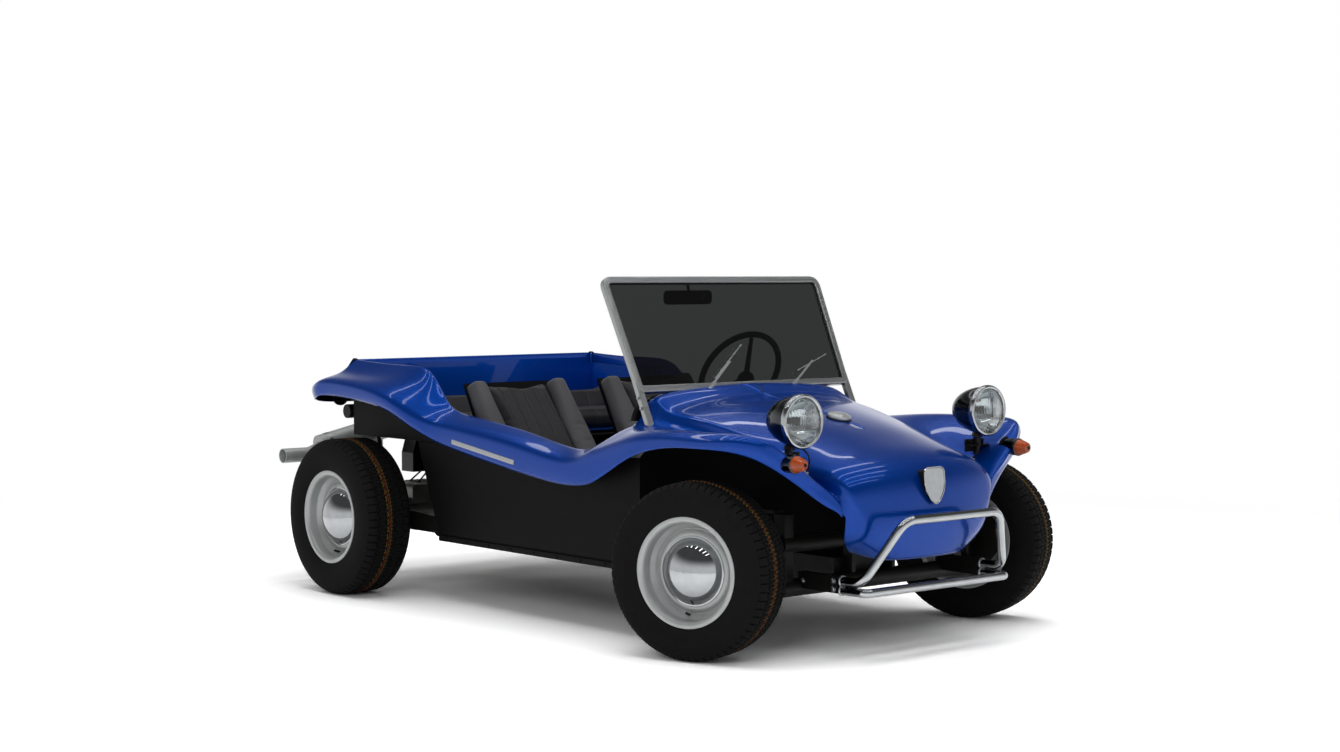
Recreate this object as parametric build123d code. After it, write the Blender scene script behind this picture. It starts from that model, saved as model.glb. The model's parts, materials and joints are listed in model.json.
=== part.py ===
from build123d import *

import os
from math import asin, cos, hypot, radians, sin, tan

# An open dune buggy on a shortened rear-engined floorpan, in millimetres. +Z is up, the front faces
# -Y and the driver's left side is +X. The origin is on the ground, under the middle of the length
# and width. The front wheels stand steered to the left, as it is parked.

# Driving sizes
WHEELBASE = 2032.0
FRONT_OVERHANG = 530.0  # front axle to the front of the bumper
REAR_OVERHANG = 520.0  # rear axle to the back of the silencer
BODY_HALF_WIDTH = 764.0  # centre to the outer edge of a rear wing
REAR_TYRE_RADIUS = 309.0
TYRE_STEP = 13.0  # by which the front tyres' radius is smaller
RIM_RISE = 302.0  # top of a rear tyre to the top of the rear body rim
SKIN = 8.0  # glass fibre moulding
STEER_AT_REST = 19.0  # degrees to the left of straight ahead
SEAT_GAP = 0.3  # between pieces that rest on each other
RUNNING_GAP = 1.0
CUT_OVERRUN = 60.0
HALF_TURN = 180.0
STANDING = (Align.CENTER, Align.CENTER, Align.MIN)  # drawn from its foot upwards

LENGTH = FRONT_OVERHANG + WHEELBASE + REAR_OVERHANG
FRONT_AXLE_Y = -LENGTH / 2 + FRONT_OVERHANG
REAR_AXLE_Y = FRONT_AXLE_Y + WHEELBASE
FRONT_TYRE_RADIUS = REAR_TYRE_RADIUS - TYRE_STEP
RIM_HEIGHT = 2 * REAR_TYRE_RADIUS + RIM_RISE  # ground to the top of the rear body rim

# Wheels: x is measured along the axle from the outer lip, outboard positive
LIP_RADIUS = 184.0
BEAD_RADIUS = 165.0
WELL_RADIUS = 148.0
BEAD_WIDTH = 40.0
WELL_SLOPE = 15.0
RIM_GAUGE = 5.0
HUB_CAP_RADIUS = 118.0
HUB_CAP_HEIGHT = 66.0
HUB_CAP_GAUGE = 2.0
CAP_RING_DEPTH = 57.0  # outer lip to the ring that the hub cap sits on
CAP_RING_WIDTH = 8.0
DISC_DROP = 15.0  # hub cap ring to the hub face
HUB_FACE_RADIUS = 92.0
HUB_BORE = 16.0
DRUM_RADIUS = 116.0
DRUM_WIDTH = 32.0
TYRE_BULGE = 8.0  # tyre wall outboard of the lip
TYRE_WALL = 13.0
TREAD_INSET = 14.0
TREAD_DROP = 7.0
BULGE_SHARES = (0.30, 0.70)  # of the height from lip to tread
FRONT_TYRE_WIDTH = 188.0
REAR_TYRE_WIDTH = 208.0
FRONT_LIP_REACH = 18.0  # outer lip outboard of the body's widest edge
REAR_LIP_REACH = 75.0
FRONT_LIP_X = BODY_HALF_WIDTH + FRONT_LIP_REACH
REAR_LIP_X = BODY_HALF_WIDTH + REAR_LIP_REACH
KINGPIN_INSET = 140.0  # outer lip to the kingpin's axis
KINGPIN_X = FRONT_LIP_X - KINGPIN_INSET

# The side mouldings, drawn for the left side, one row a station. Columns: along (share of the
# wheelbase from the front axle), then x and z of six points of the outer skin: inner edge, inner
# curve, crest, outer curve, shoulder, lip (shares of BODY_HALF_WIDTH and RIM_HEIGHT).
WING_SHARES = (
    (-0.1732, (0.4503, 0.5413), (0.4686, 0.5543), (0.4895, 0.5652), (0.5, 0.5587), (0.5, 0.5413),
     (0.4791, 0.5196)),
    (-0.1535, (0.4791, 0.587), (0.534, 0.6174), (0.5812, 0.6457), (0.6047, 0.6478), (0.623, 0.6326),
     (0.6126, 0.6043)),
    (-0.126, (0.4974, 0.6109), (0.6361, 0.6761), (0.7696, 0.7761), (0.8115, 0.7848), (0.8325, 0.7652),
     (0.8115, 0.713)),
    (-0.0935, (0.5105, 0.6413), (0.6492, 0.6978), (0.8037, 0.8), (0.8586, 0.8043), (0.8953, 0.787),
     (0.9005, 0.7587)),
    (-0.03, (0.5236, 0.6848), (0.6702, 0.7304), (0.8194, 0.8109), (0.8874, 0.8087), (0.9162, 0.7848),
     (0.9188, 0.7565)),
    (0.0984, (0.5759, 0.763), (0.7134, 0.7739), (0.8272, 0.8087), (0.8901, 0.8022), (0.9188, 0.7783),
     (0.9228, 0.7435)),
    (0.1969, (0.6505, 0.8054), (0.75, 0.8022), (0.822, 0.7957), (0.8822, 0.7761), (0.9188, 0.7457),
     (0.9241, 0.6652)),
    (0.2534, (0.6623, 0.8087), (0.7435, 0.7891), (0.822, 0.7652), (0.8822, 0.7348), (0.9188, 0.6978),
     (0.9228, 0.6022)),
)
RAIL_SHARES = (
    (0.2534, (0.801, 0.7326), (0.805, 0.7543), (0.822, 0.7652), (0.8822, 0.7348), (0.9188, 0.6978),
     (0.9228, 0.6022)),
    (0.3396, (0.801, 0.6652), (0.8037, 0.6913), (0.822, 0.7043), (0.8848, 0.6848), (0.9215, 0.6478),
     (0.9215, 0.5728)),
    (0.4921, (0.801, 0.7152), (0.8037, 0.7413), (0.822, 0.7543), (0.8874, 0.7326), (0.9267, 0.6902),
     (0.9241, 0.6087)),
    (0.6447, (0.801, 0.75), (0.8037, 0.7772), (0.822, 0.7913), (0.8901, 0.7717), (0.9346, 0.7304),
     (0.9319, 0.6587)),
    (0.7382, (0.801, 0.8022), (0.8037, 0.8283), (0.822, 0.8413), (0.8901, 0.8087), (0.9581, 0.7652),
     (0.9581, 0.7065)),
    (0.7972, (0.7984, 0.9043), (0.8024, 0.9326), (0.8181, 0.9457), (0.8796, 0.8804), (0.9764, 0.813),
     (0.9791, 0.7543)),
    (0.8563, (0.7958, 0.9478), (0.7984, 0.9739), (0.8115, 0.9848), (0.8743, 0.9239), (0.9921, 0.863),
     (0.9948, 0.8087)),
    (0.9503, (0.7919, 0.9478), (0.7958, 0.9761), (0.8102, 0.988), (0.8796, 0.9326), (0.9948, 0.9022),
     (0.9974, 0.8391)),
    (1.063, (0.7906, 0.9576), (0.7958, 0.987), (0.8102, 1.0), (0.8809, 0.9435), (0.9974, 0.9174),
     (1.0, 0.8511)),
)
WING_JOINS = (3,)  # stations where one run of the skin ends and the next begins
RAIL_JOINS = (3, 6)

# The tail turns about an upright axis inside each rear corner: degrees round, and the reach as a
# share of the side's own reach from that axis.
TAIL_PIVOT_SHARE = 0.7696
TAIL_TURN_SHARES = ((0.0, 1.0), (30.0, 1.12), (60.0, 1.27), (90.0, 1.32))
TAIL_DROP_SHARE = 0.0478  # lip's fall towards the back, of RIM_HEIGHT

# The bonnet and nose, one row a section across the car. Columns: along (share of the wheelbase),
# centre height (share of RIM_HEIGHT), tilt in degrees from upright, then shoulder and edge as
# half width (share of BODY_HALF_WIDTH) and drop (share of RIM_HEIGHT).
BONNET_SHARES = (
    (0.2559, 0.9217, 0.0, (0.5576, 0.0185), (0.6728, 0.1043)),
    (0.1329, 0.8837, 8.0, (0.5183, 0.0391), (0.6257, 0.1283)),
    (0.0133, 0.8326, 14.0, (0.4791, 0.0489), (0.5707, 0.1413)),
    (-0.0984, 0.7641, 24.0, (0.4424, 0.0478), (0.5262, 0.1413)),
)
NOSE_SHARES = (
    BONNET_SHARES[-1],
    (-0.1673, 0.7043, 44.0, (0.4267, 0.0391), (0.5052, 0.1217)),
    (-0.2028, 0.6152, 70.0, (0.411, 0.0326), (0.4895, 0.0957)),
    (-0.2106, 0.513, 90.0, (0.3743, 0.0261), (0.4634, 0.0783)),
)
CHIN_SHARES = (
    NOSE_SHARES[-1],
    (-0.2057, 0.4261, 95.0, (0.3298, 0.0217), (0.4372, 0.0826)),
    (-0.1978, 0.3478, 100.0, (0.2487, 0.0217), (0.3351, 0.0652)),
)
NOSE_RUNS = (BONNET_SHARES, NOSE_SHARES, CHIN_SHARES)
CHEEK_SHARE = 0.28  # how far the cheek between shoulder and edge stands out, of its drop


def from_axle(along):
    """Y of a place given as a length behind the front axle."""
    return FRONT_AXLE_Y + along


def place(share, height=RIM_HEIGHT):
    """A point from its shares across, along from the front axle, and up, of the height given."""
    x, along, z = share
    return (x * BODY_HALF_WIDTH, from_axle(along * WHEELBASE), z * height)


def mirrored(point):
    """The same point on the car's other side."""
    return (-point[0], point[1], point[2])


def pair(solid):
    """A solid fused with its mirror image across the centre plane."""
    return solid + mirror(solid, Plane.YZ)


def block(low, high):
    """A box between two opposite corners."""
    size = [b - a for a, b in zip(low, high)]
    middle = [(a + b) / 2 for a, b in zip(low, high)]
    return Pos(*middle) * Box(*size)


def share_block(low_share, high_share, height=RIM_HEIGHT):
    """A box between two opposite corners given in shares."""
    return block(place(low_share, height), place(high_share, height))


def rod(start, end, radius, bore=0.0):
    """A straight round bar or tube between two points."""
    a, b = Vector(*start), Vector(*end)
    made = Cylinder(radius, (b - a).length, align=STANDING)
    if bore:
        made -= Cylinder(bore, (b - a).length, align=STANDING)
    return Plane(origin=a, z_dir=b - a) * made


def bar(start, end, across, width, gauge):
    """A straight flat bar between two points, its width along a given direction."""
    a, b = Vector(*start), Vector(*end)
    return Plane(origin=a, x_dir=across, z_dir=b - a) * Box(width, gauge, (b - a).length, align=STANDING)


def bent_tube(points, bend, radius):
    """A round bar along straight runs joined by tangent bends."""
    path = FilletPolyline(*points, radius=bend)
    return sweep(Plane(origin=path @ 0, z_dir=path % 0) * Circle(radius), path=path)


def side_plate(shares, x, gauge, height=RIM_HEIGHT):
    """A flat plate outboard of x, its outline given as shares along and up."""
    outline = [(x, *place((0, along, z), height)[1:]) for along, z in shares]
    return extrude(Face(Polyline(*outline, close=True).wire()), amount=gauge, dir=(1, 0, 0))


def cross_plate(shares, along_share, gauge):
    """A flat plate across the car, symmetrical, its left half outline given as shares."""
    left = [place((x, along_share, z)) for x, z in shares]
    outline = left + [mirrored(p) for p in reversed(left) if p[0]]
    return extrude(Face(Polyline(*outline, close=True).wire()), amount=gauge, dir=(0, 1, 0))


def turned(outline):
    """A solid turned about the X axis from an outline of (x, radius)."""
    profile = make_face(Polyline(*[(x, r) for x, r in outline], close=True))
    return revolve(profile, Axis.X)


# Body mouldings
def offset_points(points, gauge):
    """Points of an open outline moved to its right-hand side by the gauge."""
    moved = []
    for i in range(len(points)):
        x, z = points[i]
        x0, z0 = points[max(i - 1, 0)]
        x1, z1 = points[min(i + 1, len(points) - 1)]
        run = hypot(x1 - x0, z1 - z0)
        moved.append((x + gauge * (z1 - z0) / run, z - gauge * (x1 - x0) / run))
    return moved


def skin_edges(plane, points):
    """Two arcs and a line through six points of a plane."""
    p = [plane.from_local_coords((x, z, 0)) for x, z in points]
    return [ThreePointArc(*p[:3]), ThreePointArc(*p[2:5]), Line(*p[4:])]


def skin_section(plane, points):
    """The closed wire round a thin skin."""
    inner = offset_points(points, SKIN)
    out = skin_edges(plane, points)
    back = skin_edges(plane, inner)
    return Wire([*out, Line(out[2] @ 1, back[2] @ 1), *back, Line(back[0] @ 0, out[0] @ 0)])


def side_points(row):
    """The outer skin's points of one station of a side moulding."""
    return [(x * BODY_HALF_WIDTH, z * RIM_HEIGHT) for x, z in row[1:]]


def cross_plane(along_share):
    """An upright plane across the car, its own x to the left and its own y up."""
    return Plane(origin=place((0, along_share, 0)), x_dir=(1, 0, 0), z_dir=(0, -1, 0))


def side_moulding(rows, joins=()):
    """One thin side moulding through its stations, in runs that meet at the joins."""
    wires = [skin_section(cross_plane(r[0]), side_points(r)) for r in rows]
    ends = [0, *joins, len(wires) - 1]
    runs = [Solid.make_loft(wires[a : b + 1]) for a, b in zip(ends, ends[1:])]
    return Solid.fuse(*runs) if joins else runs[0]


def tail_moulding():
    """The rear rim, deck and lip across the back, with both rounded corners."""
    last = RAIL_SHARES[-1]
    pivot_x, y, _ = place((TAIL_PIVOT_SHARE, last[0], 0))
    drop = TAIL_DROP_SHARE * RIM_HEIGHT
    wires = []
    for turn, reach in TAIL_TURN_SHARES:
        out = Vector(cos(radians(turn)), sin(radians(turn)), 0)
        plane = Plane(origin=(pivot_x, y, 0), x_dir=out, z_dir=out.cross(Vector(0, 0, 1)))
        rows = side_points(last)
        fall = [0, 0, 0, drop / 2, drop, drop]
        points = [((x - pivot_x) * reach, z - f * turn / 90) for (x, z), f in zip(rows, fall)]
        wires.append(skin_section(plane, points))
    corner = Solid.make_loft(wires)
    straight = extrude(Face(wires[-1]), amount=2 * pivot_x, dir=(-1, 0, 0))
    return straight + corner + mirror(corner, Plane.YZ)


def nose_outline(row, inset):
    """Points round a nose section, left side and crown: edge, cheek, shoulder, crown."""
    along, height, tilt, shoulder, edge = row
    lean = radians(tilt)
    origin = place((0, along, height))
    plane = Plane(origin=origin, x_dir=(1, 0, 0), z_dir=(0, -cos(lean), -sin(lean)))
    xs, ds = shoulder[0] * BODY_HALF_WIDTH, shoulder[1] * RIM_HEIGHT
    xe, de = edge[0] * BODY_HALF_WIDTH, edge[1] * RIM_HEIGHT
    stand = (de - ds) * CHEEK_SHARE
    half = [(xe - inset, -de), ((xs + xe) / 2 + stand - inset, stand / 2 - (ds + de) / 2)]
    half.append((xs - inset / 2, -ds - inset))
    left = [plane.from_local_coords((x, y, 0)) for x, y in half]
    right = [plane.from_local_coords((-x, y, 0)) for x, y in half]
    return left, plane.from_local_coords((0, -inset, 0)), right


def nose_arch(row, inset):
    """The three arcs over a nose section."""
    left, crown, right = nose_outline(row, inset)
    return [ThreePointArc(*left), ThreePointArc(left[2], crown, right[2]), ThreePointArc(*right[::-1])]


def nose_section(row):
    """The closed wire round a nose section's thin arch."""
    out, back = nose_arch(row, 0), nose_arch(row, SKIN)
    return Wire([*out, Line(out[2] @ 1, back[2] @ 1), *back, Line(back[0] @ 0, out[0] @ 0)])


def nose_fill(row):
    """The closed wire round the whole area under a nose section's arch."""
    out = nose_arch(row, 0)
    return Wire([*out, Line(out[2] @ 1, out[0] @ 0)])


def bonnet():
    """Bonnet and nose in one thin shell."""
    lofts = [Solid.make_loft([nose_section(r) for r in rows]) for rows in NOSE_RUNS]
    return Solid.fuse(*lofts)


def bonnet_fill():
    """The block that the bonnet and nose would fill."""
    lofts = [Solid.make_loft([nose_fill(r) for r in rows]) for rows in NOSE_RUNS]
    return Solid.fuse(*lofts)


# Load well behind the seats, and the tub round the seats
PANEL_GAUGE = 12.0
PANEL_X_SHARE = 0.8135
TUB_SIDE_SHARES = (
    (0.1737, 0.2696), (0.7677, 0.2696), (0.8071, 0.4891), (0.8366, 0.6565), (0.8366, 0.6717),
    (0.7825, 0.6717),
    (0.7825, 0.8478), (0.7382, 0.7935), (0.689, 0.763), (0.6447, 0.7446), (0.4921, 0.712),
    (0.4158, 0.6761), (0.3396, 0.6587), (0.2904, 0.6837), (0.1737, 0.6957),
)
FIREWALL_SHARES = (
    (0.8194, 0.2829), (0.8194, 0.6935), (0.7853, 0.7196), (0.733, 0.75), (0.5759, 0.7739),
    (0.517, 0.8261), (0.0, 0.8761),
)
FIREWALL_ALONG_SHARE = 0.1737
BULKHEAD_SHARES = ((0.8194, 0.2829), (0.8194, 0.6652), (0.0, 0.6652))
BULKHEAD_ALONG_SHARE = 0.748
WELL_SIDE_SHARES = (
    (0.7835, 0.6739), (1.0827, 0.6739), (1.0827, 0.9489), (0.9503, 0.9413), (0.8563, 0.937),
    (0.8268, 0.913), (0.7835, 0.8457),
)
WELL_FLOOR_SHARE = 0.6739
WELL_WALL_SHARES = ((0.8128, 0.6739), (0.8128, 0.9478), (0.7657, 0.9522), (0.7657, 0.9826), (0.0, 0.9826))


def tub():
    """Side panels, firewall and seat bulkhead."""
    x = PANEL_X_SHARE * BODY_HALF_WIDTH
    side = side_plate(TUB_SIDE_SHARES, x, PANEL_GAUGE)
    firewall = cross_plate(FIREWALL_SHARES, FIREWALL_ALONG_SHARE, PANEL_GAUGE)
    bulkhead = cross_plate(BULKHEAD_SHARES, BULKHEAD_ALONG_SHARE, PANEL_GAUGE)
    made = pair(side) + firewall + bulkhead
    made -= column_plane(0) * Cylinder(COLUMN_RADIUS + RUNNING_GAP, 2 * column_length())
    low, high = place(PAN_SHARES[0]), place(PAN_SHARES[1])
    reach = TUNNEL_HALF_WIDTH + SEAT_GAP
    made -= block((-reach, low[1] - CUT_OVERRUN, 0), (reach, high[1], low[2] + TUNNEL_HEIGHT + SEAT_GAP))
    head_low, head_high = [place(p) for p in HEAD_SHARES]
    reach = head_high[0] + SEAT_GAP
    return made - block((-reach, head_low[1], 0), (reach, head_high[1] + SEAT_GAP, head_high[2] + SEAT_GAP))


def tail_face_y():
    """The tail rim's face towards the load well."""
    along, edge = RAIL_SHARES[-1][:2]
    reach = TAIL_TURN_SHARES[-1][1]
    return place((0, along, 0))[1] + (edge[0] - TAIL_PIVOT_SHARE) * BODY_HALF_WIDTH * reach


def load_well():
    """Load floor, its side walls and the wall across the back."""
    x = PANEL_X_SHARE * BODY_HALF_WIDTH
    side = side_plate(WELL_SIDE_SHARES, x, PANEL_GAUGE)
    z = WELL_FLOOR_SHARE * RIM_HEIGHT
    wall_y = tail_face_y() - RUNNING_GAP - PANEL_GAUGE
    front_y = place((0, WELL_SIDE_SHARES[0][0], 0))[1]
    floor = block((-x, front_y, z), (x, wall_y, z + PANEL_GAUGE))
    side &= block((x, front_y, 0), (x + PANEL_GAUGE, wall_y, RIM_HEIGHT))
    wall = Pos(0, wall_y - FRONT_AXLE_Y, 0) * cross_plate(WELL_WALL_SHARES, 0, PANEL_GAUGE)
    return pair(side) + floor + wall


# Floorpan
FLOOR_GAUGE = 12.0
PAN_SHARES = ((-0.733, 0.1735, 0.2696), (0.733, 0.7825, 0.2696))
SILL_SHARES = ((0.733, 0.1801, 0.2696), (0.8109, 0.7475, 0.2696))
SILL_HEIGHT = 56.0
TUNNEL_HALF_WIDTH = 82.0
TUNNEL_HEIGHT = 150.0
TUNNEL_GAUGE = 8.0
HEAD_SHARES = ((-0.1963, -0.0522, 0.2228), (0.1963, 0.1801, 0.3261))
SWAGE_RADIUS = 12.0
SWAGE_ACROSS_SHARES = (0.36, 0.58, 0.80)  # of the half width of the pan
SWAGE_ALONG_SHARES = (0.283, 0.3681)


def floor_pan():
    """Floor plate with swages, centre tunnel and the frame head."""
    low, high = place(PAN_SHARES[0]), place(PAN_SHARES[1])
    top = low[2] + FLOOR_GAUGE
    pan = block(low, (high[0], high[1], top))
    head_low, head_high = place(HEAD_SHARES[0]), place(HEAD_SHARES[1])
    tunnel = block((-TUNNEL_HALF_WIDTH, low[1], low[2]), (TUNNEL_HALF_WIDTH, high[1], low[2] + TUNNEL_HEIGHT))
    inner = TUNNEL_HALF_WIDTH - TUNNEL_GAUGE
    hollow = block(
        (-inner, low[1] - CUT_OVERRUN, low[2] - CUT_OVERRUN),
        (inner, high[1] + CUT_OVERRUN, low[2] + TUNNEL_HEIGHT - TUNNEL_GAUGE),
    )
    made = pan + tunnel - hollow + block(head_low, head_high)
    for share in SWAGE_ACROSS_SHARES:
        for side in (-1, 1):
            ends = [(side * share * high[0], place((0, along, 0))[1], top) for along in SWAGE_ALONG_SHARES]
            made += rod(*ends, SWAGE_RADIUS)
    return made


def sills():
    """Sill rail along each edge of the floorpan."""
    low, high = place(SILL_SHARES[0]), place(SILL_SHARES[1])
    sill = block((low[0] + SEAT_GAP, *low[1:]), (high[0], high[1], low[2] + SILL_HEIGHT))
    return Compound([*sill.solids(), *mirror(sill, Plane.YZ).solids()])


# Front beam
BEAM_TUBE_RADIUS = 30.0
BEAM_HALF_SPACING = 74.0
BEAM_LEAD_SHARE = 0.0689  # beam's axis ahead of the axle, of the wheelbase
BEAM_END_INSET = 202.0  # kingpin's axis to the beam's end
BEAM_HALF_LENGTH = KINGPIN_X - BEAM_END_INSET
# The next corners are shares of the front tyre's radius in height
TOWER_SHARES = ((0.517, -0.0787, 0.6757), (0.5694, -0.0531, 1.5878))
TOWER_CAP_SHARES = ((0.517, -0.0551, 1.5878), (0.5694, -0.0271, 1.6284))
BEAM_PLATE_SHARES = ((0.1178, -0.0738, 0.7095), (0.1387, -0.0523, 1.2669))
BRACKET_SHARES = ((0.4267, -0.1649, 0.75), (0.4764, -0.0738, 0.9324))


def beam_y():
    return from_axle(-BEAM_LEAD_SHARE * WHEELBASE)


def front_beam():
    """Two cross tubes joined by plates, with the shock towers and the bumper brackets."""
    made = Part()
    for z in (FRONT_TYRE_RADIUS - BEAM_HALF_SPACING, FRONT_TYRE_RADIUS + BEAM_HALF_SPACING):
        made += rod((-BEAM_HALF_LENGTH, beam_y(), z), (BEAM_HALF_LENGTH, beam_y(), z), BEAM_TUBE_RADIUS)
    for low, high in (TOWER_SHARES, TOWER_CAP_SHARES, BEAM_PLATE_SHARES, BRACKET_SHARES):
        made += pair(share_block(low, high, FRONT_TYRE_RADIUS))
    return made


# Trailing arms, knuckles and shock absorbers
ARM_RADIUS = 17.0
ARM_CRANK = 30.0
ARM_BOSS_RADIUS = 24.0
EYE_RADIUS = 20.0
EYE_HALF_HEIGHT = 20.0
BALL_PIN_RADIUS = 8.0
KNUCKLE_RADIUS = 18.0
SPINDLE_RADIUS = 15.0
STEERING_ARM = 94.0
STEERING_ARM_RISE = 36.0
STEERING_ARM_RADIUS = 8.0
ROD_END_RADIUS = 14.0
ROD_END_HALF_HEIGHT = 9.0
ROD_PIN_RADIUS = 6.0
TIE_ROD_RADIUS = 8.0
SHOCK_RADIUS = 22.0
SHOCK_ROD_RADIUS = 8.0
FRONT_SHOCK_SHARE = (0.5432, -0.0404)
TRACK_ROD_Z = FRONT_TYRE_RADIUS + STEERING_ARM_RISE + 2 * ROD_END_HALF_HEIGHT + RUNNING_GAP


def shock_foot(z):
    """A point on the front shock absorber's axis at a height."""
    x, along = FRONT_SHOCK_SHARE
    return (x * BODY_HALF_WIDTH, from_axle(along * WHEELBASE), z)


def trailing_arms():
    """Both pairs of arms from the beam's ends to the kingpins, with the shock absorber pins."""
    solids = []
    for level in (-1, 1):
        z = FRONT_TYRE_RADIUS + level * BEAM_HALF_SPACING
        inner = (BEAM_HALF_LENGTH + SEAT_GAP, beam_y(), z)
        outer = (BEAM_HALF_LENGTH + 2 * ARM_CRANK, beam_y(), z)
        crank = (BEAM_HALF_LENGTH + ARM_CRANK, beam_y(), z)
        tip = (KINGPIN_X, FRONT_AXLE_Y, z)
        made = rod(inner, outer, ARM_BOSS_RADIUS) + rod(crank, tip, ARM_RADIUS)
        if level < 0:
            made += rod(outer, shock_foot(z), SHOCK_ROD_RADIUS)
            made -= Pos(*shock_foot(z)) * Cylinder(SHOCK_RADIUS + SEAT_GAP, CUT_OVERRUN)
        made += Pos(*tip) * Cylinder(EYE_RADIUS, 2 * EYE_HALF_HEIGHT)
        made -= Pos(*tip) * Cylinder(BALL_PIN_RADIUS + RUNNING_GAP, 2 * CUT_OVERRUN)
        solids += [made, mirror(made, Plane.YZ)]
    return Compound(solids)


def steered(x_side):
    """Place of a front wheel's kingpin, turned as it stands."""
    return Pos(x_side * KINGPIN_X, FRONT_AXLE_Y, FRONT_TYRE_RADIUS) * Rot(0, 0, STEER_AT_REST)


def knuckle(side):
    """Kingpin, spindle and steering arm of one side, steered; side is 1 on the left."""
    inner_face = BEAM_HALF_SPACING - EYE_HALF_HEIGHT - RUNNING_GAP
    made = Cylinder(KNUCKLE_RADIUS, 2 * inner_face)
    made += Cylinder(BALL_PIN_RADIUS, 2 * (BEAM_HALF_SPACING + EYE_HALF_HEIGHT))
    depth = KINGPIN_INSET - CAP_RING_DEPTH - DISC_DROP
    made += rod((0, 0, 0), (side * (depth - RUNNING_GAP), 0, 0), SPINDLE_RADIUS)
    plate = depth - RIM_GAUGE - DRUM_WIDTH - RUNNING_GAP
    made += rod((0, 0, 0), (side * plate, 0, 0), KNUCKLE_RADIUS + SHOCK_ROD_RADIUS)
    rise = STEERING_ARM_RISE
    made += rod((0, 0, rise), (0, STEERING_ARM, rise), STEERING_ARM_RADIUS)
    made += Pos(0, STEERING_ARM, rise) * Cylinder(ROD_END_RADIUS, 2 * ROD_END_HALF_HEIGHT)
    pin_top = TRACK_ROD_Z - FRONT_TYRE_RADIUS + ROD_END_HALF_HEIGHT
    made += rod((0, STEERING_ARM, rise), (0, STEERING_ARM, pin_top), ROD_PIN_RADIUS)
    return steered(side) * made


def arm_end():
    """Offset of a steering arm's eye from its pivot, as it stands."""
    a = radians(STEER_AT_REST)
    return -STEERING_ARM * sin(a), STEERING_ARM * cos(a)


def track_rod():
    """One rod from knuckle to knuckle, with a rod end at each pin and at the drop arm."""
    dx, dy = arm_end()
    y = FRONT_AXLE_Y + dy
    made = rod((dx - KINGPIN_X, y, TRACK_ROD_Z), (dx + KINGPIN_X, y, TRACK_ROD_Z), TIE_ROD_RADIUS)
    for x in (-KINGPIN_X, drop_x(), KINGPIN_X):
        made += Pos(dx + x, y, TRACK_ROD_Z) * Cylinder(ROD_END_RADIUS, 2 * ROD_END_HALF_HEIGHT)
    for x in (-KINGPIN_X, drop_x(), KINGPIN_X):
        made -= Pos(dx + x, y, TRACK_ROD_Z) * Cylinder(ROD_PIN_RADIUS + RUNNING_GAP / 2, CUT_OVERRUN)
    return made


# Steering
DROP_X_SHARE = 0.2749
DROP_ARM_GAUGE = 10.0
DROP_SHAFT_RADIUS = 9.0
BOX_RADIUS = 34.0
BOX_HEIGHT = 78.0
WHEEL_CENTRE_SHARE = (0.4188, 0.438, 0.9565)
COLUMN_LOW_SHARE = (0.2801, 0.0148)
COLUMN_LOW_RISE = 60.0  # over the foot of the steering box
COLUMN_RADIUS = 20.0
COLUMN_END_SHARE = 0.90  # of the way up to the steering wheel
RING_RADIUS = 176.0
RING_SECTION_RADIUS = 12.0
WHEEL_HUB_RADIUS = 34.0
WHEEL_HUB_WIDTH = 30.0
SPOKE_WIDTH = 20.0
SPOKE_GAUGE = 7.0
SHAFT_RADIUS = 9.0
SPOKE_TURNS = (90.0, 210.0, 330.0)
WHEEL_DISH = 40.0
BOX_ARM_SHARES = ((0.2487, -0.0539, 1.3446), (0.301, -0.0049, 1.4865))


def drop_x():
    return DROP_X_SHARE * BODY_HALF_WIDTH


def drop_arm_z():
    """Mid height of the drop arm, just above the track rod."""
    return TRACK_ROD_Z + ROD_END_HALF_HEIGHT + RUNNING_GAP + DROP_ARM_GAUGE / 2


def drop_arm():
    """Arm from the steering box's shaft to the track rod, steered."""
    dx, dy = arm_end()
    z = drop_arm_z()
    a, b = (drop_x(), FRONT_AXLE_Y), (drop_x() + dx, FRONT_AXLE_Y + dy)
    made = Pos(*a, z) * Cylinder(ROD_END_RADIUS, DROP_ARM_GAUGE)
    made += Pos(*b, z) * Cylinder(ROD_END_RADIUS, DROP_ARM_GAUGE)
    bar = Pos(0, STEERING_ARM / 2, 0) * Box(ROD_END_RADIUS, STEERING_ARM, DROP_ARM_GAUGE)
    made += Pos(*a, z) * Rot(0, 0, STEER_AT_REST) * bar
    made += rod((*a, z), (*a, box_low() + BOX_HEIGHT / 2), DROP_SHAFT_RADIUS)
    made += rod((*b, z), (*b, TRACK_ROD_Z - ROD_END_HALF_HEIGHT), ROD_PIN_RADIUS)
    return made


def box_low():
    return drop_arm_z() + DROP_ARM_GAUGE / 2 + RUNNING_GAP


def column_low():
    x, y, _ = place((*COLUMN_LOW_SHARE, 0))
    return Vector(x, y, box_low() + COLUMN_LOW_RISE)


def column_plane(share):
    """A plane square to the steering column, at a share of its length, own y to the top."""
    low, high = column_low(), Vector(*place(WHEEL_CENTRE_SHARE))
    axis = (high - low).normalized()
    across = Vector(0, 0, 1).cross(axis).normalized()
    return Plane(origin=low + (high - low) * share, x_dir=across, z_dir=axis)


def column_length():
    return (Vector(*place(WHEEL_CENTRE_SHARE)) - column_low()).length


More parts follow.
